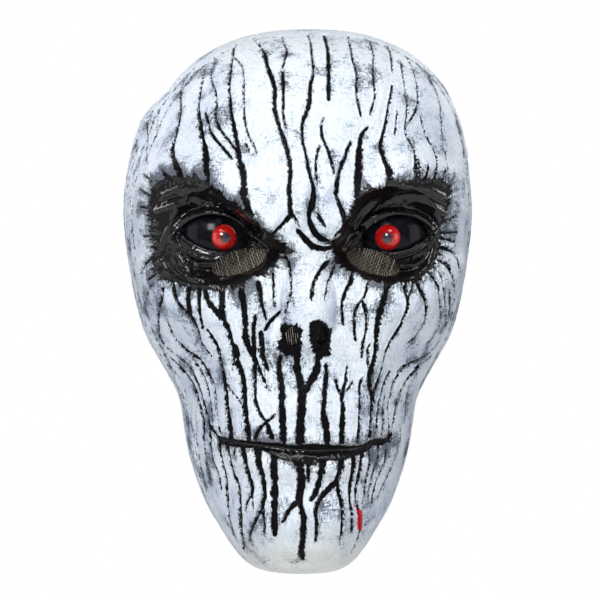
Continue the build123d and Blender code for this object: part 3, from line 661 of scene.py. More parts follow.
def seen_tree():
    """Finds the grid's front vertices by where the camera sees them."""
    rows, columns = (found[::2] for found in np.nonzero(facing))
    tree = kdtree.KDTree(len(rows))
    for k, (a, b) in enumerate(zip(across[rows, columns].tolist(), up[rows, columns].tolist())):
        tree.insert((a, b, 0), k)
    tree.balance()
    return tree, rows, columns


def mark(field, row, column, point, half, reach):
    """Lowers the field to the distance from one sample of a line, less the line's half width."""
    low_r, high_r = max(row - reach, 0), min(row + reach + 1, ROWS)
    low_c, high_c = max(column - reach, 0), min(column + reach + 1, COLUMNS)
    patch = grid[low_r:high_r, low_c:high_c] - point
    gap = np.sqrt((patch * patch).sum(2)) - half
    window = field[low_r:high_r, low_c:high_c]
    np.minimum(window, gap, out=window)


def half_widths(widths, share, length):
    """Half the width along one line: tapered ends, and a brush that never keeps quite steady."""
    wide_at = np.interp(share, np.linspace(0, 1, len(widths)), widths)
    fuller = np.interp(wide_at, (0.6, 1.0, 1.8), (0.8, 0.95, 1.22))
    knots = np.arange(0, length + 3, 1.1)
    wobble = 1 + 0.30 * np.interp(share * length, knots, rng.uniform(-1, 1, len(knots)))
    ends = np.minimum(share, 1 - share) * length
    return 0.5 * wide_at * fuller * wobble * np.clip(0.45 + ends / 3.2, 0, 1) + 0.06


def torn_outline(field, outline, spike, sharpness, offset):
    """Lowers the field to the distance outside an outline with brush-torn edges."""
    low, high = outline.min(0) - 12, outline.max(0) + 12
    near = x_front & (across > low[0]) & (across < high[0]) & (up > low[1]) & (up < high[1])
    gap = polygon_distance(across[near], up[near], outline)
    centre = outline.mean(0)
    angle = np.arctan2(up[near] - centre[1], across[near] - centre[0])
    tears = np.abs(np.interp(angle, np.linspace(-math.pi, math.pi, 211), rng.uniform(-1, 1, 211))) ** sharpness
    tears += 0.5 * np.interp(angle, np.linspace(-math.pi, math.pi, 61), rng.uniform(-1, 1, 61))
    field[near] = np.minimum(field[near], gap - spike * tears + offset)


normal = grid_normals(grid)
across, up = as_seen(grid)
facing = (normal[..., 1] < 0.02) | ((normal[..., 1] < 0.2) & (np.abs(normal[..., 0]) > 0.9))
tree, tree_rows, tree_columns = seen_tree()
crack = np.full(grid.shape[:2], 9.0)
REACH = int(7 / GRID_STEP)
SAMPLE_STEP = 0.3  # between the samples of a crack's line
SIDE_SWAY = 0.42  # how much of a side crack's typed sway is kept
SIDE_SHIFT = 2.0  # how far up the right side's cracks are moved, and down the left's
for widths, points in stroke_rows(CRACKS):
    line, share = resample(points, SAMPLE_STEP)
    half = half_widths(widths, share, SAMPLE_STEP * len(line))
    half *= 1 - 0.38 * smoothstep(55, 100, line[:, 1])
    for (a, b), reach_out in zip(line.tolist(), half.tolist()):
        found = tree.find((a, b, 0))[1]
        row, column = int(tree_rows[found]), int(tree_columns[found])
        # the line's own place, not the nearest vertex's
        point = grid[row, column].copy()
        point[0] += a - across[row, column]
        point[2] += b - up[row, column]
        mark(crack, row, column, point, reach_out, REACH)
for widths, points in stroke_rows(SIDE_CRACKS):
    for side in (-1, 1):
        line, share = resample(points, SAMPLE_STEP)
        steady = np.polyval(np.polyfit(line[:, 1], line[:, 0], 2), line[:, 1])
        line[:, 0] = steady + SIDE_SWAY * (line[:, 0] - steady)
        half = half_widths(widths, share, SAMPLE_STEP * len(line))
        for (back, z), reach_out in zip(line.tolist(), half.tolist()):
            row = int(np.argmin(np.abs(row_z - z - SIDE_SHIFT * side)))
            place = np.abs(grid[row, :, 1] + back) + 50 * (grid[row, :, 0] * side < 0)
            column = int(np.argmin(place))
            if abs(grid[row, column, 1] + back) < 2:
                point = grid[row, column].copy()
                point[1] = -back
                point[2] = z + SIDE_SHIFT * side
                mark(crack, row, column, point, reach_out, REACH)
crack = np.minimum(crack, 7.0)
crack = blurred(crack, 1)

x_front = normal[..., 1] < 0.25
socket = np.full(grid.shape[:2], 30.0)
for outline in SOCKETS:
    torn_outline(socket, outline, 3.0, 2.5, 0.4)
ragged = np.full(grid.shape[:2], 30.0)
for outline in NOSE_HOLLOWS:
    torn_outline(ragged, outline, 1.3, 1.6, -0.5)
lips_gap = np.full(grid.shape[:2], 30.0)
torn_outline(lips_gap, MOUTH, 0.0, 1.0, -0.35)
ragged = np.minimum(ragged, lips_gap)
black = np.minimum(np.minimum(crack, socket), ragged)

# the groove of each crack with its raised lips, and the skin swelling a little between them
groove = -1.05 * np.exp(-(np.maximum(crack + 0.3, 0) / 0.5) ** 2)
groove += 0.34 * np.exp(-(((crack + 0.85) / 0.3) ** 2))
lips = 0.42 * np.exp(-(((crack - 0.7) / 0.5) ** 2))
swell = 0.45 * smoothstep(0.5, 4.0, crack)
calm = smoothstep(-2.5, 1.5, socket) * smoothstep(-1.0, 1.0, ragged)
rough = rng.normal(0, 1, grid.shape[:2])
ripples = blurred(rough, 6) * 0.5
relief = (groove + lips + swell) * calm + ripples * 0.6
rim_fade = smoothstep(0, 4, -grid[..., 1])
relief = relief * rim_fade
outer = grid + normal * relief[..., None]


# ---------------------------------------------------------------- openings, the inner face and one closed skin
INNER_BALL, OUTER_BALL = 21.2, 22.3  # the skin's two faces round each eyeball
LEAST_WALL = 0.9  # thickness left where a socket's wall is steep
FRONT_OF_FACE = -58.0  # only the skin in front of this depth is cut


def face_centres(points):
    """The middle of each of the grid's faces."""
    return (points[:-1, :-1] + points[1:, :-1] + points[:-1, 1:] + points[1:, 1:]) / 4


centres = face_centres(outer)
kept = np.ones(centres.shape[:2], bool)
in_front = centres[..., 1] < FRONT_OF_FACE
for outline in HOLES:
    low, high = outline.min(0) - 1, outline.max(0) + 1
    x, z = centres[..., 0], centres[..., 2]
    near = in_front & (x > low[0]) & (x < high[0]) & (z > low[1]) & (z < high[1])
    inside = np.zeros(kept.shape, bool)
    inside[near] = polygon_distance(x[near], z[near], outline) < 0
    kept &= ~inside

beside_kept = np.zeros(grid.shape[:2], bool)
beside_cut = np.zeros(grid.shape[:2], bool)
for dr in (0, 1):
    for dc in (0, 1):
        view = beside_kept[dr : dr + kept.shape[0], dc : dc + kept.shape[1]]
        view |= kept
        view = beside_cut[dr : dr + kept.shape[0], dc : dc + kept.shape[1]]
        view |= ~kept
for row, column in np.argwhere(beside_kept & beside_cut).tolist():
    place = outer[row, column]
    best = None
    for outline in HOLES:
        closed = np.concatenate([outline, outline[:1]])
        start, step = closed[:-1], np.diff(closed, axis=0)
        here = place[[0, 2]]
        share = np.clip(((here - start) * step).sum(1) / (step * step).sum(1), 0, 1)
        spots = start + share[:, None] * step
        gaps = np.hypot(*(spots - here).T)
        k = int(np.argmin(gaps))
        if best is None or gaps[k] < best[0]:
            best = (gaps[k], spots[k])
    shift = best[1] - place[[0, 2]]
    slope = normal[row, column]
    lift = -(slope[0] * shift[0] + slope[2] * shift[1]) / min(slope[1], -0.35)
    move = np.array([shift[0], lift, shift[1]])
    outer[row, column] += move
    grid[row, column] += move

smooth = np.stack([blurred(grid[..., axis], 3) for axis in range(3)], 2)
smooth = np.where((beside_kept & beside_cut)[..., None], grid, smooth)
smooth_normal = grid_normals(np.stack([blurred(grid[..., axis], 5) for axis in range(3)], 2))
inner = smooth - smooth_normal * SKIN
inner[..., 1] = np.minimum(inner[..., 1], 0.0)


def clear_of_ball(points, centre, radius):
    """The points with those inside the front of a ball moved out to its surface."""
    away = points - centre
    gap = np.linalg.norm(away, axis=2, keepdims=True)
    inside = (gap < radius) & (away[..., 1:2] < -4)
    return np.where(inside, centre + away * radius / np.maximum(gap, 1e-6), points)


for side in (-1, 1):
    eye = np.array([side * EYE[0], EYE[1], EYE[2]])
    inner = clear_of_ball(inner, eye, INNER_BALL)
    outer = clear_of_ball(outer, eye, OUTER_BALL)
# the inner face never comes through the steep walls of the sockets
outer_normal = grid_normals(outer)
for side in (-1, 1):
    near = (np.abs(outer[..., 0] - side * EYE[0]) < 32) & (np.abs(outer[..., 2] - EYE[2]) < 30)
    near &= outer[..., 1] < -45
    rows, columns = np.nonzero(near)
    walls = kdtree.KDTree(len(rows))
    for k, place in enumerate(outer[rows, columns].tolist()):
        walls.insert(place, k)
    walls.balance()
    for row, column in zip(rows.tolist(), columns.tolist()):
        found = walls.find(inner[row, column])[1]
        wall = outer[rows[found], columns[found]]
        slope = outer_normal[rows[found], columns[found]]
        if (inner[row, column] - wall) @ slope > -LEAST_WALL:
            inner[row, column] = wall - slope * LEAST_WALL
# the trimmed rim is flat
outer[:, 0, 1] = 0
outer[:, -1, 1] = 0

number = np.arange(grid.shape[0] * grid.shape[1]).reshape(grid.shape[:2])
quads = np.stack([number[:-1, :-1], number[:-1, 1:], number[1:, 1:], number[1:, :-1]], 2)[kept]
behind = number.size  # from an outer vertex's number to that of the inner one behind it
back_quads = quads[:, ::-1] + behind
edges = np.concatenate([quads[:, [0, 1]], quads[:, [1, 2]], quads[:, [2, 3]], quads[:, [3, 0]]])
keys = np.sort(edges, axis=1)
order = np.lexsort((keys[:, 1], keys[:, 0]))
sorted_keys = keys[order]
same_next = np.zeros(len(keys), bool)
same = (sorted_keys[1:] == sorted_keys[:-1]).all(1)
same_next[:-1] |= same
same_next[1:] |= same
open_edges = edges[order[~same_next]]
first, second = open_edges.T
strip = np.stack([second, first, first + behind, second + behind], 1)
used = np.zeros(2 * behind, bool)
all_quads = np.concatenate([quads, strip, back_quads])
used[all_quads] = True
renumber = np.cumsum(used) - 1
points = np.concatenate([outer.reshape(-1, 3), inner.reshape(-1, 3)])[used]
all_quads = renumber[all_quads][:, ::-1]
painted = len(quads) + len(strip)


def add_object(name, data):
    """An object of the scene round a mesh, a lamp or a camera."""
    made = bpy.data.objects.new(name, data)
    bpy.context.scene.collection.objects.link(made)
    return made


def make_mesh(name, points_mm, quad_array):
    """An object of smooth quads."""
    mesh = bpy.data.meshes.new(name)
    mesh.vertices.add(len(points_mm))
    mesh.vertices.foreach_set("co", (np.asarray(points_mm, np.float32) / 1000).ravel())
    quad_array = np.ascontiguousarray(quad_array, np.int32)
    mesh.loops.add(quad_array.size)
    mesh.loops.foreach_set("vertex_index", quad_array.ravel())
    mesh.polygons.add(len(quad_array))
    mesh.polygons.foreach_set("loop_start", np.arange(0, quad_array.size, quad_array.shape[1], dtype=np.int32))
    mesh.polygons.foreach_set("use_smooth", np.ones(len(quad_array), bool))
    mesh.update(calc_edges=True)
    mesh.validate()
    return add_object(name, mesh)


def add_attribute(mesh, name, values):
    """A number at each vertex, for a material to read."""
    attribute = mesh.attributes.new(name, "FLOAT", "POINT")
    attribute.data.foreach_set("value", np.asarray(values, np.float32).ravel())


skin = make_mesh("latex_skin", points, all_quads)
# the inner face is bare latex, but black round the lids and the nostrils: partly paint run round their edges,
# partly painted shade for the shadowed hollows behind them
inner_black_and_shade = np.full(black.shape, 5.0)
EYE_SHADE_LINING, NOSE_SHADE_LINING = 25, 14  # how far the black runs from each one's middle
for x, z, reach_out in (
    (-EYE[0], EYE[2], EYE_SHADE_LINING),
    (EYE[0], EYE[2], EYE_SHADE_LINING),
    (0, NOSE[2] - 14, NOSE_SHADE_LINING),
):
    gap = np.hypot(inner[..., 0] - x, inner[..., 2] - z) - reach_out
    inner_black_and_shade = np.minimum(inner_black_and_shade, np.where(inner[..., 1] < -50, gap, 5.0))
black_paint_and_shade = np.concatenate([black.ravel(), inner_black_and_shade.ravel()])[used]
material_index = np.zeros(len(all_quads), np.int32)
material_index[painted:] = black_paint_and_shade[all_quads[painted:]].max(1) > -1.2
skin.data.polygons.foreach_set("material_index", material_index)


def skin_attribute(name, values, inner_values=None):
    """A value on the outer face, and the same straight behind it unless the inner face has its own."""
    behind = values if inner_values is None else inner_values
    add_attribute(skin.data, name, np.concatenate([values.ravel(), behind.ravel()])[used])


# blue-grey towards each side and along the lower jaw's edges: partly the paint's own colour, partly painted
# shade where the form turns away from the lamps
side_shade_and_tint = smoothstep(0.25, 0.95, np.abs(normal[..., 0])) * smoothstep(-3, 30, -grid[..., 1] + 25)
jaw_shade_and_tint = smoothstep(-40, -70, up) * smoothstep(30, 52, np.abs(across - 1.5))
under_chin = smoothstep(0.15, 0.8, -normal[..., 2]) * smoothstep(-128, -146, up)
dirt = blurred(rng.normal(0, 1, grid.shape[:2]), 60)
dirt = dirt / dirt.std()
drip = polyline_distance(across, up, pairs("31.6 -124.5 31.2 -128 31.4 -132.5")) - 1.1
drip = np.minimum(drip, polyline_distance(across, up, pairs("28 -120.5 28.6 -122")) - 0.2)
drip = np.where(normal[..., 1] < 0, np.minimum(drip, 4), 4)
skin_attribute("black", black, inner_black_and_shade)
skin_attribute("socket", np.minimum(socket, lips_gap + 0.6))
skin_attribute("shade_and_tint_at_sides", np.maximum(side_shade_and_tint, jaw_shade_and_tint))
skin_attribute("chin", under_chin)
skin_attribute("dirt", dirt)
skin_attribute("drip", drip)
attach(skin, "mask")
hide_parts("mask_shell")


# ---------------------------------------------------------------- materials
class Paint:
    """Builds one node material, a line at a time."""

    def __init__(self, name):
        self.material = bpy.data.materials.new(name)
        self.material.use_nodes = True
        self.tree = self.material.node_tree
        self.shader = self.tree.nodes["Principled BSDF"]
        self.place = self.node("ShaderNodeTexCoord").outputs["Object"]

    def node(self, kind, **settings):
        made = self.tree.nodes.new(kind)
        for key, value in settings.items():
            setattr(made, key, value)
        return made

    def join(self, source, target):
        if isinstance(source, (int, float)):
            target.default_value = source
        elif isinstance(source, tuple):
            target.default_value = (*source, 1.0) if len(source) == 3 else source
        else:
            self.tree.links.new(source, target)

    def attribute(self, name):
        return self.node("ShaderNodeAttribute", attribute_name=name).outputs["Fac"]

    def math(self, operation, a, b=0.0, c=0.0):
        made = self.node("ShaderNodeMath", operation=operation)
        for socket_in, value in zip(made.inputs, (a, b, c)):
            self.join(value, socket_in)
        return made.outputs[0]

    def ramp(self, value, low, high, out_low=0.0, out_high=1.0):
        made = self.node("ShaderNodeMapRange", interpolation_type="SMOOTHSTEP")
        items = {"Value": value, "From Min": low, "From Max": high, "To Min": out_low, "To Max": out_high}
        for key, item in items.items():
            self.join(item, made.inputs[key])
        return made.outputs["Result"]

    def texture(self, kind, scale, stretch, distortion, **settings):
        """A texture node in the object's own space."""
        mapped = self.node("ShaderNodeMapping")
        self.join(self.place, mapped.inputs["Vector"])
        mapped.inputs["Scale"].default_value = stretch
        made = self.node(kind, **settings)
        self.join(mapped.outputs["Vector"], made.inputs["Vector"])
        made.inputs["Scale"].default_value = scale
        made.inputs["Distortion"].default_value = distortion
        return made

    def noise(self, scale, stretch=(1, 1, 1), detail=3.0, distortion=0.0):
        made = self.texture("ShaderNodeTexNoise", scale, stretch, distortion)
        made.inputs["Detail"].default_value = detail
        made.inputs["Roughness"].default_value = 0.55
        return made.outputs["Fac"]

    def wave(self, scale, direction, distortion):
        made = self.texture("ShaderNodeTexWave", scale, (1, 1, 1), distortion, bands_direction=direction)
        return made.outputs["Fac"]

    def mix(self, share, a, b):
        made = self.node("ShaderNodeMix", data_type="RGBA")
        self.join(share, made.inputs["Factor"])
        # the node's colour sockets share their names with its number sockets
        self.join(a, made.inputs[6])
        self.join(b, made.inputs[7])
        return made.outputs[2]

    def swing(self, noise, size):
        """The noise as a swing about nothing."""
        return self.math("MULTIPLY", self.math("SUBTRACT", noise, 0.5), size)

    def bump(self, height, distance_mm, strength=1.0, after=None):
        made = self.node("ShaderNodeBump")
        self.join(height, made.inputs["Height"])
        made.inputs["Distance"].default_value = distance_mm / 1000
        made.inputs["Strength"].default_value = strength
        if after is not None:
            self.join(after, made.inputs["Normal"])
        return made.outputs["Normal"]

    def finish(self, **sockets):
        for key, value in sockets.items():
            self.join(value, self.shader.inputs[key.replace("_", " ")])
        return self.material


def crackle_paint():
    """White brushed over blue-grey, with black in the cracks and wet black in the sockets and the mouth."""
    p = Paint("crackle_painted_latex")
    black = p.attribute("black")
    socket_gap = p.attribute("socket")
    shade_and_tint_at_sides = p.attribute("shade_and_tint_at_sides")
    chin = p.attribute("chin")
    dirt = p.attribute("dirt")
    drip = p.attribute("drip")
    ragged = p.noise(700, (1, 1, 0.7), distortion=0.6)
    grit = p.noise(1500, (1, 1, 0.6), detail=2.0, distortion=0.4)
    bristle = p.noise(1050, (1, 1, 0.22), distortion=0.8)
    sideways = p.noise(1000, (0.30, 0.30, 1), distortion=0.9)
    weft = p.noise(1250, (1, 1, 0.7), distortion=1.2)
    patches = p.noise(62)
    broad = p.noise(26, detail=2.0)
    # edge of the black, torn by the brush
    edge = p.math("ADD", black, p.swing(ragged, 2.2))
    edge = p.math("ADD", edge, p.swing(grit, 1.5))
    ink = p.ramp(edge, 0.34, 0.08)
    # dry speckle beside the black and in soft patches
    nearness = p.ramp(black, 4.5, 0.2)
    patchy = p.ramp(p.math("ADD", patches, p.math("MULTIPLY", dirt, 0.03)), 0.46, 0.70)
    dry = p.math("MULTIPLY_ADD", nearness, 0.11, p.math("MULTIPLY", patchy, 0.17))
    dry = p.math("MULTIPLY_ADD", shade_and_tint_at_sides, 0.05, dry)
    dry = p.math("MULTIPLY_ADD", p.ramp(socket_gap, 9.0, 0.0), 0.12, dry)
    flecks = p.math("ADD", p.math("MULTIPLY", bristle, 0.55), p.math("MULTIPLY", grit, 0.45))
    flecks = p.ramp(flecks, p.math("SUBTRACT", 0.70, dry), p.math("SUBTRACT", 0.78, dry))
    lines = p.ramp(sideways, p.math("SUBTRACT", 0.74, dry), p.math("SUBTRACT", 0.82, dry))
    speckle = p.math("MULTIPLY", p.math("MAXIMUM", flecks, p.math("MULTIPLY", lines, 0.7)), 0.80)
    # the white coat, brushed thin over a blue-grey one
    white = p.mix(p.ramp(broad, 0.35, 0.70), (0.90, 0.955, 1.0), (0.82, 0.89, 0.97))
    white = p.mix(p.ramp(bristle, 0.52, 0.63, 0.0, 0.50), white, (0.50, 0.61, 0.76))
    worn = p.ramp(p.math("ADD", patches, p.math("MULTIPLY", dirt, 0.05)), 0.44, 0.66, 0.16, 0.92)
    white = p.mix(p.math("MULTIPLY", p.ramp(weft, 0.51, 0.60), worn), white, (0.25, 0.33, 0.47))
    white = p.mix(p.math("MULTIPLY", p.ramp(sideways, 0.53, 0.64), worn), white, (0.30, 0.39, 0.53))
    white = p.mix(p.ramp(grit, 0.60, 0.68, 0.0, 0.65), white, (1.0, 1.0, 1.0))
    # blue-grey at each side and the jaw: partly the paint's own colour, partly painted shade
    side_shade_tint = p.mix(broad, (0.38, 0.46, 0.66), (0.54, 0.61, 0.76))
    white = p.mix(p.math("MULTIPLY", shade_and_tint_at_sides, p.ramp(patches, 0.25, 0.75, 0.10, 0.80)), white, side_shade_tint)
    white = p.mix(p.math("MULTIPLY", chin, 0.45), white, (0.76, 0.75, 0.63))
    coat = p.mix(speckle, white, (0.035, 0.04, 0.055))
    jet = p.mix(p.ramp(grit, 0.3, 0.8), (0.003, 0.003, 0.004), (0.010, 0.009, 0.010))
    colour = p.mix(ink, coat, jet)
    red = p.ramp(p.math("ADD", drip, p.swing(ragged, 1.2)), 0.25, -0.1)
    colour = p.mix(red, colour, (0.62, 0.008, 0.012))
    # the black in the sockets is a wet gloss, the black in the cracks only satin
    wet = p.ramp(socket_gap, 1.0, -2.0)
    gloss = p.ramp(ink, 0.0, 1.0, 0.34, p.ramp(wet, 0.0, 1.0, 0.28, 0.08))
    gloss = p.math("MULTIPLY_ADD", speckle, 0.12, gloss)
    outside = p.ramp(socket_gap, -2.5, 0.5, 0.18, 1.0)
    skin_bump = p.bump(p.math("MULTIPLY", p.noise(420, (1, 1, 0.5), detail=4.0), outside), 0.35, 0.35)
    skin_bump = p.bump(p.math("MULTIPLY", bristle, outside), 0.25, 0.6, skin_bump)
    skin_bump = p.bump(p.math("MULTIPLY", p.noise(160), outside), 0.8, 0.25, skin_bump)
    return p.finish(
        Base_Color=colour,
        Roughness=gloss,
        Normal=skin_bump,
        IOR=1.5,
        Specular_IOR_Level=p.ramp(ink, 0.0, 1.0, 0.30, p.ramp(wet, 0.0, 1.0, 0.05, 0.46)),
        Coat_Weight=p.math("MULTIPLY", wet, 0.10),
        Coat_Roughness=0.10,
    )


def raw_latex():
    p = Paint("natural_latex_inside")
    blotch = p.noise(60, detail=4.0)
    flow = p.noise(180, (1, 1, 0.35))
    colour = p.mix(p.ramp(blotch, 0.3, 0.7), (0.62, 0.50, 0.32), (0.74, 0.64, 0.46))
    colour = p.mix(p.ramp(flow, 0.5, 0.8, 0, 0.5), colour, (0.50, 0.38, 0.23))
    bump = p.bump(flow, 0.5, 0.5)
    bump = p.bump(p.noise(1400, detail=2.0), 0.1, 0.6, bump)
    return p.finish(
        Base_Color=colour,
        Roughness=p.ramp(blotch, 0.2, 0.8, 0.42, 0.62),
        Normal=bump,
        Subsurface_Weight=0.08,
        Subsurface_Scale=0.002,
        Specular_IOR_Level=0.4,
    )


def eye_gloss():
    p = Paint("black_glass_eye")
    cloud = p.noise(240)
    dust = p.noise(2400, detail=1.0)
    colour = p.mix(p.ramp(cloud, 0.35, 0.75), (0.003, 0.003, 0.005), (0.012, 0.012, 0.018))
    colour = p.mix(p.ramp(dust, 0.72, 0.80, 0, 0.35), colour, (0.10, 0.11, 0.14))
    return p.finish(
        Base_Color=colour,
        Roughness=p.ramp(cloud, 0.2, 0.8, 0.10, 0.24),
        Normal=p.bump(cloud, 0.2, 0.35),
        Specular_IOR_Level=0.16,
        Coat_Weight=0.04,
        Coat_Roughness=0.04,
    )


def one_noise(name, noise, tones, colours, rough, bump, **sockets):
    """A material whose colour, roughness and bump all follow one noise, given by its scale and detail."""
    p = Paint(name)
    cloud = p.noise(noise[0], detail=noise[1])
    return p.finish(
        Base_Color=p.mix(p.ramp(cloud, *tones), *colours),
        Roughness=p.ramp(cloud, 0.2, 0.8, *rough),
        Normal=p.bump(cloud, *bump),
        **sockets,
    )


def iris_red():
    return one_noise(
        "red_enamel_iris",
        noise=(420, 3),
        tones=(0.3, 0.75),
        colours=((0.72, 0.006, 0.005), (0.46, 0.002, 0.003)),
        rough=(0.10, 0.22),
        bump=(0.15, 0.3),
        Coat_Weight=1.0,
        Coat_Roughness=0.03,
    )


def pupil_glass():
    return one_noise(
        "violet_grey_pupil",
        noise=(900, 2),
        tones=(0.3, 0.7),
        colours=((0.020, 0.017, 0.030), (0.06, 0.05, 0.08)),
        rough=(0.08, 0.18),
        bump=(0.08, 0.3),
        Coat_Weight=0.8,
        Coat_Roughness=0.03,
    )


def nickel():
    p = Paint("nickel_rivet")
    scuff = p.noise(1500, (1, 0.15, 0.15), detail=2.0)
    colour = p.mix(scuff, (0.62, 0.60, 0.56), (0.78, 0.77, 0.74))
    return p.finish(
        Base_Color=colour,
        Metallic=1.0,
        Roughness=p.ramp(scuff, 0.3, 0.7, 0.20, 0.38),
        Normal=p.bump(scuff, 0.05, 0.4),
    )


def screen_thread(name, light, gap_shade):
    p = Paint(name)
    fibre = p.noise(5200, detail=2.0)
    soil = p.noise(160)
    # the warp takes the second colour, painted shade standing for the shadowed gaps between the threads
    colour = p.mix(p.attribute("weft"), gap_shade, light)
    colour = p.mix(p.ramp(fibre, 0.3, 0.75, 0, 0.4), colour, gap_shade)
    colour = p.mix(p.ramp(soil, 0.52, 0.75, 0, 0.45), colour, (0.10, 0.085, 0.07))
    return p.finish(
        Base_Color=colour,
        Roughness=p.ramp(fibre, 0.2, 0.8, 0.5, 0.75),
        Normal=p.bump(fibre, 0.06, 0.6),
        Specular_IOR_Level=0.15,
    )


def elastic_weave():
    p = Paint("black_ribbed_elastic")
    fibre = p.noise(3200, (1, 1, 0.3), detail=2.0)
    picks = p.wave(330, "Y", 0.6)
    colour = p.mix(p.math("MULTIPLY", picks, fibre), (0.010, 0.010, 0.011), (0.055, 0.054, 0.056))
    return p.finish(
        Base_Color=colour,
        Roughness=p.ramp(fibre, 0.2, 0.8, 0.55, 0.8),
        Normal=p.bump(picks, 0.12, 0.7, p.bump(fibre, 0.08, 0.6)),
        Sheen_Weight=0.35,
        Sheen_Roughness=0.5,
    )


def fuzz():
    return one_noise(
        "hook_and_loop_pile",
        noise=(2600, 3),
        tones=(0.35, 0.7),
        colours=((0.008, 0.008, 0.009), (0.06, 0.06, 0.062)),
        rough=(0.7, 0.95),
        bump=(0.3, 0.8),
        Sheen_Weight=0.6,
    )


def moulded_black():
    return one_noise(
        "moulded_black_slider",
        noise=(1100, 3),
        tones=(0.3, 0.75),
        colours=((0.010, 0.010, 0.011), (0.024, 0.024, 0.026)),
        rough=(0.22, 0.42),
        bump=(0.06, 0.5),
        Coat_Weight=0.2,
    )


def latexed_cloth():
    p = Paint("latexed_cloth_pad")
    warp = p.wave(420, "Y", 0.8)
    weft = p.wave(420, "Z", 0.8)
    stain = p.noise(120)
    colour = p.mix(p.ramp(stain, 0.3, 0.7), (0.66, 0.56, 0.38), (0.78, 0.70, 0.53))
    colour = p.mix(p.math("MULTIPLY", p.math("MULTIPLY", warp, weft), 0.35), colour, (0.46, 0.37, 0.24))
    return p.finish(
        Base_Color=colour,
        Roughness=p.ramp(stain, 0.2, 0.8, 0.45, 0.65),
        Normal=p.bump(p.math("MAXIMUM", warp, weft), 0.18, 0.6),
    )


def dark_stitch():
    p = Paint("polyester_stitching")
    ply = p.noise(4200, detail=2.0)
    colour = p.mix(ply, (0.03, 0.03, 0.032), (0.10, 0.10, 0.105))
    return p.finish(Base_Color=colour, Roughness=0.6, Normal=p.bump(ply, 0.05, 0.6), Sheen_Weight=0.3)


def give(name, material):
    """A carried-over CAD node's finish."""
    mesh = nodes[name].data
    mesh.materials.clear()
    mesh.materials.append(material)


skin.data.materials.append(crackle_paint())
skin.data.materials.append(raw_latex())
glass, red, violet, plate = eye_gloss(), iris_red(), pupil_glass(), nickel()
for side in ("left", "right"):
    give(side + "_eyeball", glass)
    give(side + "_iris", red)
    give(side + "_pupil", violet)
    give(side + "_rivet", plate)
    give(side + "_rivet_cap", plate)
give("strap_slider", moulded_black())


# ---------------------------------------------------------------- woven screens, straps, tapes and pads
THREAD_SIDES = 6


def tubes(name, lines, radius, flatness=1.0):
    """Threads along lines of points, as one mesh, their ends closed. One radius, or one for each line."""
    all_points, all_faces, start = [], [], 0
    turns = np.linspace(0, 2 * math.pi, THREAD_SIDES, endpoint=False)
    for line, wide in zip(lines, np.broadcast_to(radius, len(lines))):
        line = np.asarray(line, float)
        along = np.gradient(line, axis=0)
        along /= np.maximum(np.linalg.norm(along, axis=1, keepdims=True), 1e-9)
        aside = np.cross(along, np.array([0.02, 1.0, 0.03]))
        aside /= np.maximum(np.linalg.norm(aside, axis=1, keepdims=True), 1e-9)
        other = np.cross(along, aside) * flatness
        rings = line[:, None] + wide * (
            np.cos(turns)[None, :, None] * aside[:, None] + np.sin(turns)[None, :, None] * other[:, None]
        )
        count = len(line)
        all_points.append(rings.reshape(-1, 3))
        ids = start + np.arange(count * THREAD_SIDES).reshape(count, THREAD_SIDES)
        nxt = np.roll(ids, -1, axis=1)
        body = np.stack([ids[:-1], nxt[:-1], nxt[1:], ids[1:]], 2).reshape(-1, 4)
        all_faces += body.tolist()
        all_faces.append(ids[0][::-1].tolist())
        all_faces.append(ids[-1].tolist())
        start += count * THREAD_SIDES
    mesh = bpy.data.meshes.new(name)
    mesh.from_pydata((np.concatenate(all_points) / 1000).tolist(), [], all_faces)
    mesh.polygons.foreach_set("use_smooth", np.ones(len(mesh.polygons), bool))
    mesh.update()
    return add_object(name, mesh)


def wall_finder(low, high, behind):
    """A function giving how far back a screen lies at each (x, z): just behind the skin's smooth form."""
    flat = smooth_grid.reshape(-1, 3)
    near = (flat[:, 0] > low[0]) & (flat[:, 0] < high[0]) & (flat[:, 2] > low[1]) & (flat[:, 2] < high[1])
    near &= flat[:, 1] < -50
    flat = flat[near]
    found = kdtree.KDTree(len(flat))
    for k, (a, _, b) in enumerate(flat.tolist()):
        found.insert((a, b, 0), k)
    found.balance()

    def wall(x, z):
        back = []
        for a, b in zip(np.ravel(x).tolist(), np.ravel(z).tolist()):
            close = found.find_n((a, b, 0), 12)
            weights = np.array([1 / (0.4 + item[2]) for item in close])
            depths = np.array([flat[item[1], 1] for item in close])
            back.append(float((weights * depths).sum() / weights.sum()))
        return np.array(back) + behind

    return wall


THREAD_WIDTHS = (0.47, 1.39)  # of the weft and the warp, as shares of a screen's thickness
THREAD_FLATNESS = 0.17


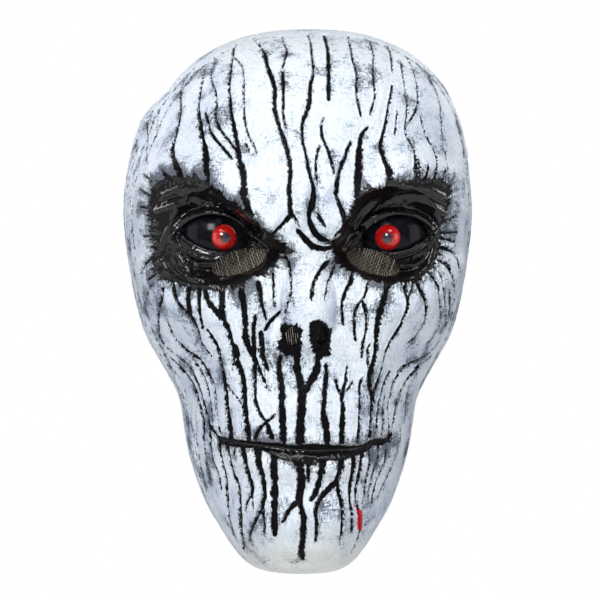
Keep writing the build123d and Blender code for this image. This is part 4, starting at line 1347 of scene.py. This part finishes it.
def woven_screen(name, outline, wall_y, pitch, thickness, tilt):
    """Broad warp threads nearly side by side and narrow pale weft through them, inside an outline; the warp's
    colour is painted shade for the gaps.
    """
    low, high = outline.min(0), outline.max(0)
    centre = (low + high) / 2
    half = float(np.hypot(*(high - low))) / 2
    c, s = math.cos(math.radians(tilt)), math.sin(math.radians(tilt))
    lines, widths, weft = [], [], []
    places = np.arange(-half, half + pitch, pitch)
    fine = np.arange(-half, half, pitch / 4)
    for way in (0, 1):
        for k, place in enumerate(places):
            drift = 0.05 * pitch * np.interp(fine, np.linspace(-half, half, 9), rng.uniform(-1, 1, 9))
            u = fine if way == 0 else np.full(fine.shape, place) + drift
            v = np.full(fine.shape, place) + drift if way == 0 else fine
            x, z = centre[0] + c * u - s * v, centre[1] + s * u + c * v
            inside = polygon_distance(x, z, outline) < 0
            wave = 0.18 * thickness * np.cos(math.pi * (fine + half) / pitch + math.pi * (k + way))
            y = wall_y(x, z) + wave
            run_start = None
            for i in range(len(fine) + 1):
                if i < len(fine) and inside[i]:
                    run_start = i if run_start is None else run_start
                elif run_start is not None:
                    if i - run_start > 5:
                        lines.append(np.stack([x, y, z], 1)[run_start:i])
                        widths.append(thickness * THREAD_WIDTHS[way])
                        weft += [1.0 - way] * (THREAD_SIDES * (i - run_start))
                    run_start = None
    screen = tubes(name, lines, np.array(widths) / 2, THREAD_FLATNESS)
    add_attribute(screen.data, "weft", weft)
    return screen


def outline_area(outline):
    """The area inside an outline."""
    x, z = outline[:, 0], outline[:, 1]
    return 0.5 * abs(float((x * np.roll(z, -1) - z * np.roll(x, -1)).sum()))


# the sight screens' second colour, given to the warp, is painted shade for the gaps between the threads
sight_thread_and_gap_shade = screen_thread("sight_screen_thread", (0.34, 0.295, 0.225), (0.082, 0.068, 0.049))
# the nostril screen's threads are near black: painted shade for the shadowed inside of the nostrils; the cloth
# itself matches the sight screens
nose_thread_in_shade = screen_thread("nose_screen_thread_in_shade", (0.030, 0.024, 0.014), (0.004, 0.004, 0.003))
for name, side in SIDES:
    outline = ellipse_outline((32.0, -0.4), 16.6, 8.4, -18)
    outline = outline if side > 0 else mirrored(outline)
    box_low, box_high = outline.min(0) - 3, outline.max(0) + 3
    wall = wall_finder(box_low, box_high, 3.3)
    screen = woven_screen(name + "_sight_gauze", outline, wall, 1.15, 0.80, -18 * side)
    screen.data.materials.append(sight_thread_and_gap_shade)
    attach(screen, "mask")
    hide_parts(name + "_sight_mesh")
    slope = 1.22
    outline_area(outline) * slope / 1e6
nose_outline = pairs("-13.5 -28 12 -28 13.5 -30 13.5 -43 12 -45 -13.5 -45 -15 -43 -15 -30")
behind_nose = wall_finder((-18, -50), (18, -22), 3.9)
nose_screen = woven_screen("nostril_gauze", nose_outline, behind_nose, 1.0, 0.70, 9)
nose_screen.data.materials.append(nose_thread_in_shade)
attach(nose_screen, "mask")
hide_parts("nose_mesh")


STRAP_Z = 27.0
BAND_HALF = 12.5  # half the elastic's height
BAND_START, BAND_TURN = -23.4, 10.0  # depths where it starts in front of the rivet and turns behind the head
CLOSURE_END = 28.0  # how far past the middle its free end reaches
PULL_IN = 3.2  # how far the elastic draws in behind the rim, clear of the skin when it swings
STITCH_OUT, STITCH_DIP = 0.78, 0.28  # how far out of the elastic's middle a stitch lies, and its ends' dip


def band_path(side, layer_radius, centre_x):
    """The elastic's middle in plan from before the rivet to its free end, and the way out of the head."""
    leg_x = side * (abs(centre_x) + layer_radius)
    turn_x = side * abs(centre_x)
    points = [(leg_x, y) for y in np.linspace(BAND_START, BAND_TURN, 26)]
    for angle in np.linspace(0, math.pi / 2, 60)[1:]:
        aside, back = layer_radius * math.cos(angle), layer_radius * math.sin(angle)
        points.append((turn_x + side * aside, BAND_TURN + back))
    points += [(x, BAND_TURN + layer_radius) for x in np.linspace(turn_x, -side * CLOSURE_END, 46)[1:]]
    points = np.array(points)
    points[:, 0] -= side * PULL_IN * smoothstep(0, 17, points[:, 1]) * smoothstep(60, 24, points[:, 1])
    along = length_along(points)
    at = np.arange(0, along[-1], 0.8)
    at = np.append(at, along[-1])
    path = np.stack([np.interp(at, along, points[:, k]) for k in (0, 1)], 1)
    way = np.gradient(path, axis=0)
    way /= np.linalg.norm(way, axis=1, keepdims=True)
    out = np.stack([way[:, 1], -way[:, 0]], 1) * side
    return at, path, out


def rim_loop(ids):
    """The numbers round the edge of a sheet's rows and columns, in order."""
    return np.concatenate([ids[0, :], ids[1:, -1], ids[-1, -2::-1], ids[-2:0:-1, 0]])


def ribbed_band(name, side, layer_radius, centre_x):
    """The elastic: lengthwise ribs, a bound edge each side and a rounded end round the rivet."""
    at, path, out = band_path(side, layer_radius, centre_x)
    rounded = np.sqrt(np.maximum(BAND_HALF**2 - (BAND_HALF - at) ** 2, 0.05))
    half = np.where(at < BAND_HALF, rounded, BAND_HALF)
    share = np.linspace(-1, 1, 90)
    ribs = 0.11 * np.abs(np.sin(np.arange(90) / 89 * math.pi * 14)) - 0.06
    edge = 0.45 * smoothstep(0.93, 1.0, np.abs(share))
    picks = 0.035 * np.sin(at * 2 * math.pi / 1.9)
    sheets = []
    thick = (0.68 + ribs - edge)[None, :] + picks[:, None]
    z = STRAP_Z + half[:, None] * share[None, :]
    for face in (1, -1):
        x = path[:, 0][:, None] + face * out[:, 0][:, None] * thick
        y = path[:, 1][:, None] + face * out[:, 1][:, None] * thick
        sheets.append(np.stack([x, y, z], 2))
    ids = np.arange(z.size).reshape(z.shape)
    front_faces = np.stack([ids[:-1, :-1], ids[:-1, 1:], ids[1:, 1:], ids[1:, :-1]], 2).reshape(-1, 4)
    loop = rim_loop(ids)
    nxt = np.roll(loop, -1)
    rim = np.stack([nxt, loop, loop + z.size, nxt + z.size], 1)
    faces = np.concatenate([front_faces, front_faces[:, ::-1] + z.size, rim])
    faces = faces[:, ::-1] if side < 0 else faces
    band = make_mesh(name, np.concatenate([sheet.reshape(-1, 3) for sheet in sheets]), faces)
    return band, path, out, at


PILE_RISE = 0.12


def pile_slab(name, low, high, seed):
    """A thin tape with a fuzzy pile on its faces and frayed looking edges, from a rounded slab."""
    own = np.random.default_rng(seed)
    nx, nz = 110, 46
    u = np.linspace(low[0], high[0], nx)
    w = np.linspace(low[2], high[2], nz)
    x, z = np.meshgrid(u, w, indexing="ij")
    edge = np.minimum(np.minimum(x - low[0], high[0] - x), np.minimum(z - low[2], high[2] - z))
    dip = 0.38 * (1 - smoothstep(0, 0.8, edge))
    middle = (low[1] + high[1]) / 2
    half = (high[1] - low[1]) / 2
    sheets = []
    for face in (-1, 1):
        tuft = own.uniform(0, PILE_RISE, x.shape)
        sheets.append(np.stack([x, middle + face * (half - dip - tuft), z], 2))
    count = nx * nz
    ids = np.arange(count).reshape(nx, nz)
    a = np.stack([ids[:-1, :-1], ids[1:, :-1], ids[1:, 1:], ids[:-1, 1:]], 2).reshape(-1, 4)
    loop = rim_loop(ids)
    nxt = np.roll(loop, -1)
    rim = np.stack([loop, nxt, nxt + count, loop + count], 1)
    points = np.concatenate([sheet.reshape(-1, 3) for sheet in sheets])
    return make_mesh(name, points, np.concatenate([a, a[:, ::-1] + count, rim]))


def box_mm(name):
    """The low and high corners of a CAD node, in millimetres."""
    return [np.array(corner, float) * 1000 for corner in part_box(name)]


weave = elastic_weave()
pile = fuzz()
cloth = latexed_cloth()
thread = dark_stitch()
for name, side, radius, centre_x in (("left", -1, 51.75, 28.6), ("right", 1, 48.25, 32.1)):
    band, path, out, at = ribbed_band(name + "_elastic", side, radius, centre_x)
    band.data.materials.append(weave)
    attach(band, "strap")
    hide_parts(name + "_strap")
    stitches = []
    for face in (1, -1):
        for back in (3.0, 6.0) if face > 0 else (3.0,):
            row = int(np.argmin(np.abs(at - (at[-1] - back))))
            over = path[row] + face * out[row] * STITCH_OUT
            under = over - face * out[row] * STITCH_DIP
            steps = ((under, 0.0), (over, 0.5), (over, 1.5), (under, 2.0))
            for z in np.arange(-11, 10.5, 2.6):
                stitches.append([(*place, STRAP_Z + z + rise) for place, rise in steps])
    sewing = tubes(name + "_strap_stitching", stitches, 0.2)
    sewing.data.materials.append(thread)
    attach(sewing, "strap")
for tape, seed in (("hook_tape", 3), ("loop_tape", 5)):
    low, high = box_mm(tape)
    slab = pile_slab(tape + "_pile", low, high, seed)
    slab.data.materials.append(pile)
    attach(slab, "strap")
    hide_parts(tape)


def cloth_pad(name, side, low, high):
    """A glued disc of cloth soaked in latex: domed edge, a dimple at the rivet and a faint weave."""
    outer_x, inner_x = (high[0], low[0]) if side > 0 else (low[0], high[0])
    cy, cz = (low[1] + high[1]) / 2, (low[2] + high[2]) / 2
    radius = (high[1] - low[1]) / 2
    rings = np.linspace(0.0, 1.0, 34)
    around = np.linspace(0, 2 * math.pi, 96, endpoint=False)
    r = 2.1 + (radius - 2.1) * rings[:, None] * (1 + 0.012 * np.sin(7 * around)[None, :] * rings[:, None])
    y, z = cy + r * np.cos(around), cz + r * np.sin(around)
    depth = abs(outer_x - inner_x)
    crown = np.sqrt(np.maximum(1 - np.maximum((rings - 0.86) / 0.14, 0) ** 2, 0.0))[:, None]
    dimple = 0.22 * np.exp(-(((r - 5.2) / 1.1) ** 2))
    cloth_rise = 0.05 * np.sin(y * 2 * math.pi / 1.5) * np.sin(z * 2 * math.pi / 1.5)
    face = side * ((depth - 0.3) * (0.25 + 0.75 * crown) - dimple + cloth_rise * crown)
    head_side = np.stack([outer_x + 0 * r, y, z], 2)
    wearer_side = np.stack([outer_x - face, y, z], 2)
    n, m = r.shape
    ids = np.arange(n * m).reshape(n, m)
    nxt = np.roll(ids, -1, axis=1)
    a = np.stack([ids[:-1], nxt[:-1], nxt[1:], ids[1:]], 2).reshape(-1, 4)
    count = n * m
    hole = np.stack([ids[0], nxt[0], nxt[0] + count, ids[0] + count], 1)
    rim = np.stack([nxt[-1], ids[-1], ids[-1] + count, nxt[-1] + count], 1)
    points = np.concatenate([head_side.reshape(-1, 3), wearer_side.reshape(-1, 3)])
    return make_mesh(name, points, np.concatenate([a, a[:, ::-1] + count, hole, rim]))


for name, side in SIDES:
    low, high = box_mm(name + "_strap_pad")
    pad = cloth_pad(name + "_cloth_pad", side, low, high)
    pad.data.materials.append(cloth)
    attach(pad, "mask")
    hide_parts(name + "_strap_pad")


# ---------------------------------------------------------------- floor, light and camera
def area_light(name, place, target, size, power, colour=(1, 1, 1)):
    """A rectangular lamp turned to its target."""
    lamp = bpy.data.lights.new(name, "AREA")
    lamp.shape = "RECTANGLE"
    lamp.size, lamp.size_y = size
    lamp.energy = power
    lamp.color = colour
    made = add_object(name, lamp)
    made.location = place
    made.rotation_euler = (Vector(target) - Vector(place)).to_track_quat("-Z", "Y").to_euler()


FLOOR_RADIUS, FLOOR_Z = 1.65, -0.34
floor_mesh = bpy.data.meshes.new("studio_floor")
turns = [k * math.pi / 48 for k in range(96)]
rim_points = [(FLOOR_RADIUS * math.cos(t), FLOOR_RADIUS * math.sin(t), FLOOR_Z) for t in turns]
floor_mesh.from_pydata(rim_points, [], [tuple(range(96))])
floor = add_object("studio_floor", floor_mesh)
pale = Paint("pale_floor")
pale_grey = pale.mix(pale.noise(3), (0.84, 0.84, 0.84), (0.88, 0.88, 0.88))
floor_mesh.materials.append(pale.finish(Base_Color=pale_grey, Roughness=0.8))

area_light("key_front", (-0.42, -1.35, 0.62), (0, -0.05, 0.0), (0.40, 0.40), 10.0, (0.98, 0.99, 1.0))
area_light("overhead", (0.0, -0.75, 1.15), (0, -0.05, 0), (1.1, 0.5), 8.2)
area_light("left_strip", (-1.35, -0.55, 0.05), (0, -0.05, -0.02), (0.8, 1.3), 3.6, (0.95, 0.97, 1.0))
area_light("right_strip", (1.3, -0.75, 0.05), (0, -0.05, -0.02), (0.8, 1.3), 4.4, (0.95, 0.97, 1.0))
area_light("low_front", (0.15, -1.3, -0.75), (0, -0.05, -0.06), (0.9, 0.4), 2.6)
area_light("back_left", (-0.7, 0.8, 0.5), (0, 0, 0), (0.6, 0.8), 3.0)
area_light("back_right", (0.7, 0.8, 0.5), (0, 0, 0), (0.6, 0.8), 3.0)

world = bpy.data.worlds.new("white_studio")
world.use_nodes = True
bpy.context.scene.world = world
tree = world.node_tree
background = tree.nodes["Background"]
background.inputs["Color"].default_value = (1.0, 1.0, 1.0, 1)
background.inputs["Strength"].default_value = 0.19
seen = tree.nodes.new("ShaderNodeBackground")
seen.inputs["Color"].default_value = (1.0, 1.0, 1.0, 1)
seen.inputs["Strength"].default_value = 1.0
chooser = tree.nodes.new("ShaderNodeMixShader")
rays = tree.nodes.new("ShaderNodeLightPath")
tree.links.new(rays.outputs["Is Camera Ray"], chooser.inputs["Fac"])
tree.links.new(background.outputs[0], chooser.inputs[1])
tree.links.new(seen.outputs[0], chooser.inputs[2])
tree.links.new(chooser.outputs[0], tree.nodes["World Output"].inputs["Surface"])

scene = bpy.context.scene
scene.view_settings.view_transform = "Standard"
scene.view_settings.look = "None"
lens = bpy.data.cameras.new("camera")
lens.lens, lens.sensor_width = 180.0, 36.0
lens.clip_end = 20.0
camera = add_object("camera", lens)
turned = math.atan(YAW)
aim = Vector((0.0015, 0.0, EYE_LEVEL / 1000))
camera.location = aim + Vector((-math.sin(turned), -math.cos(turned), 0)) * (SEEN_FROM / 1000)
camera.rotation_euler = (math.pi / 2, 0, -turned)
scene.camera = camera
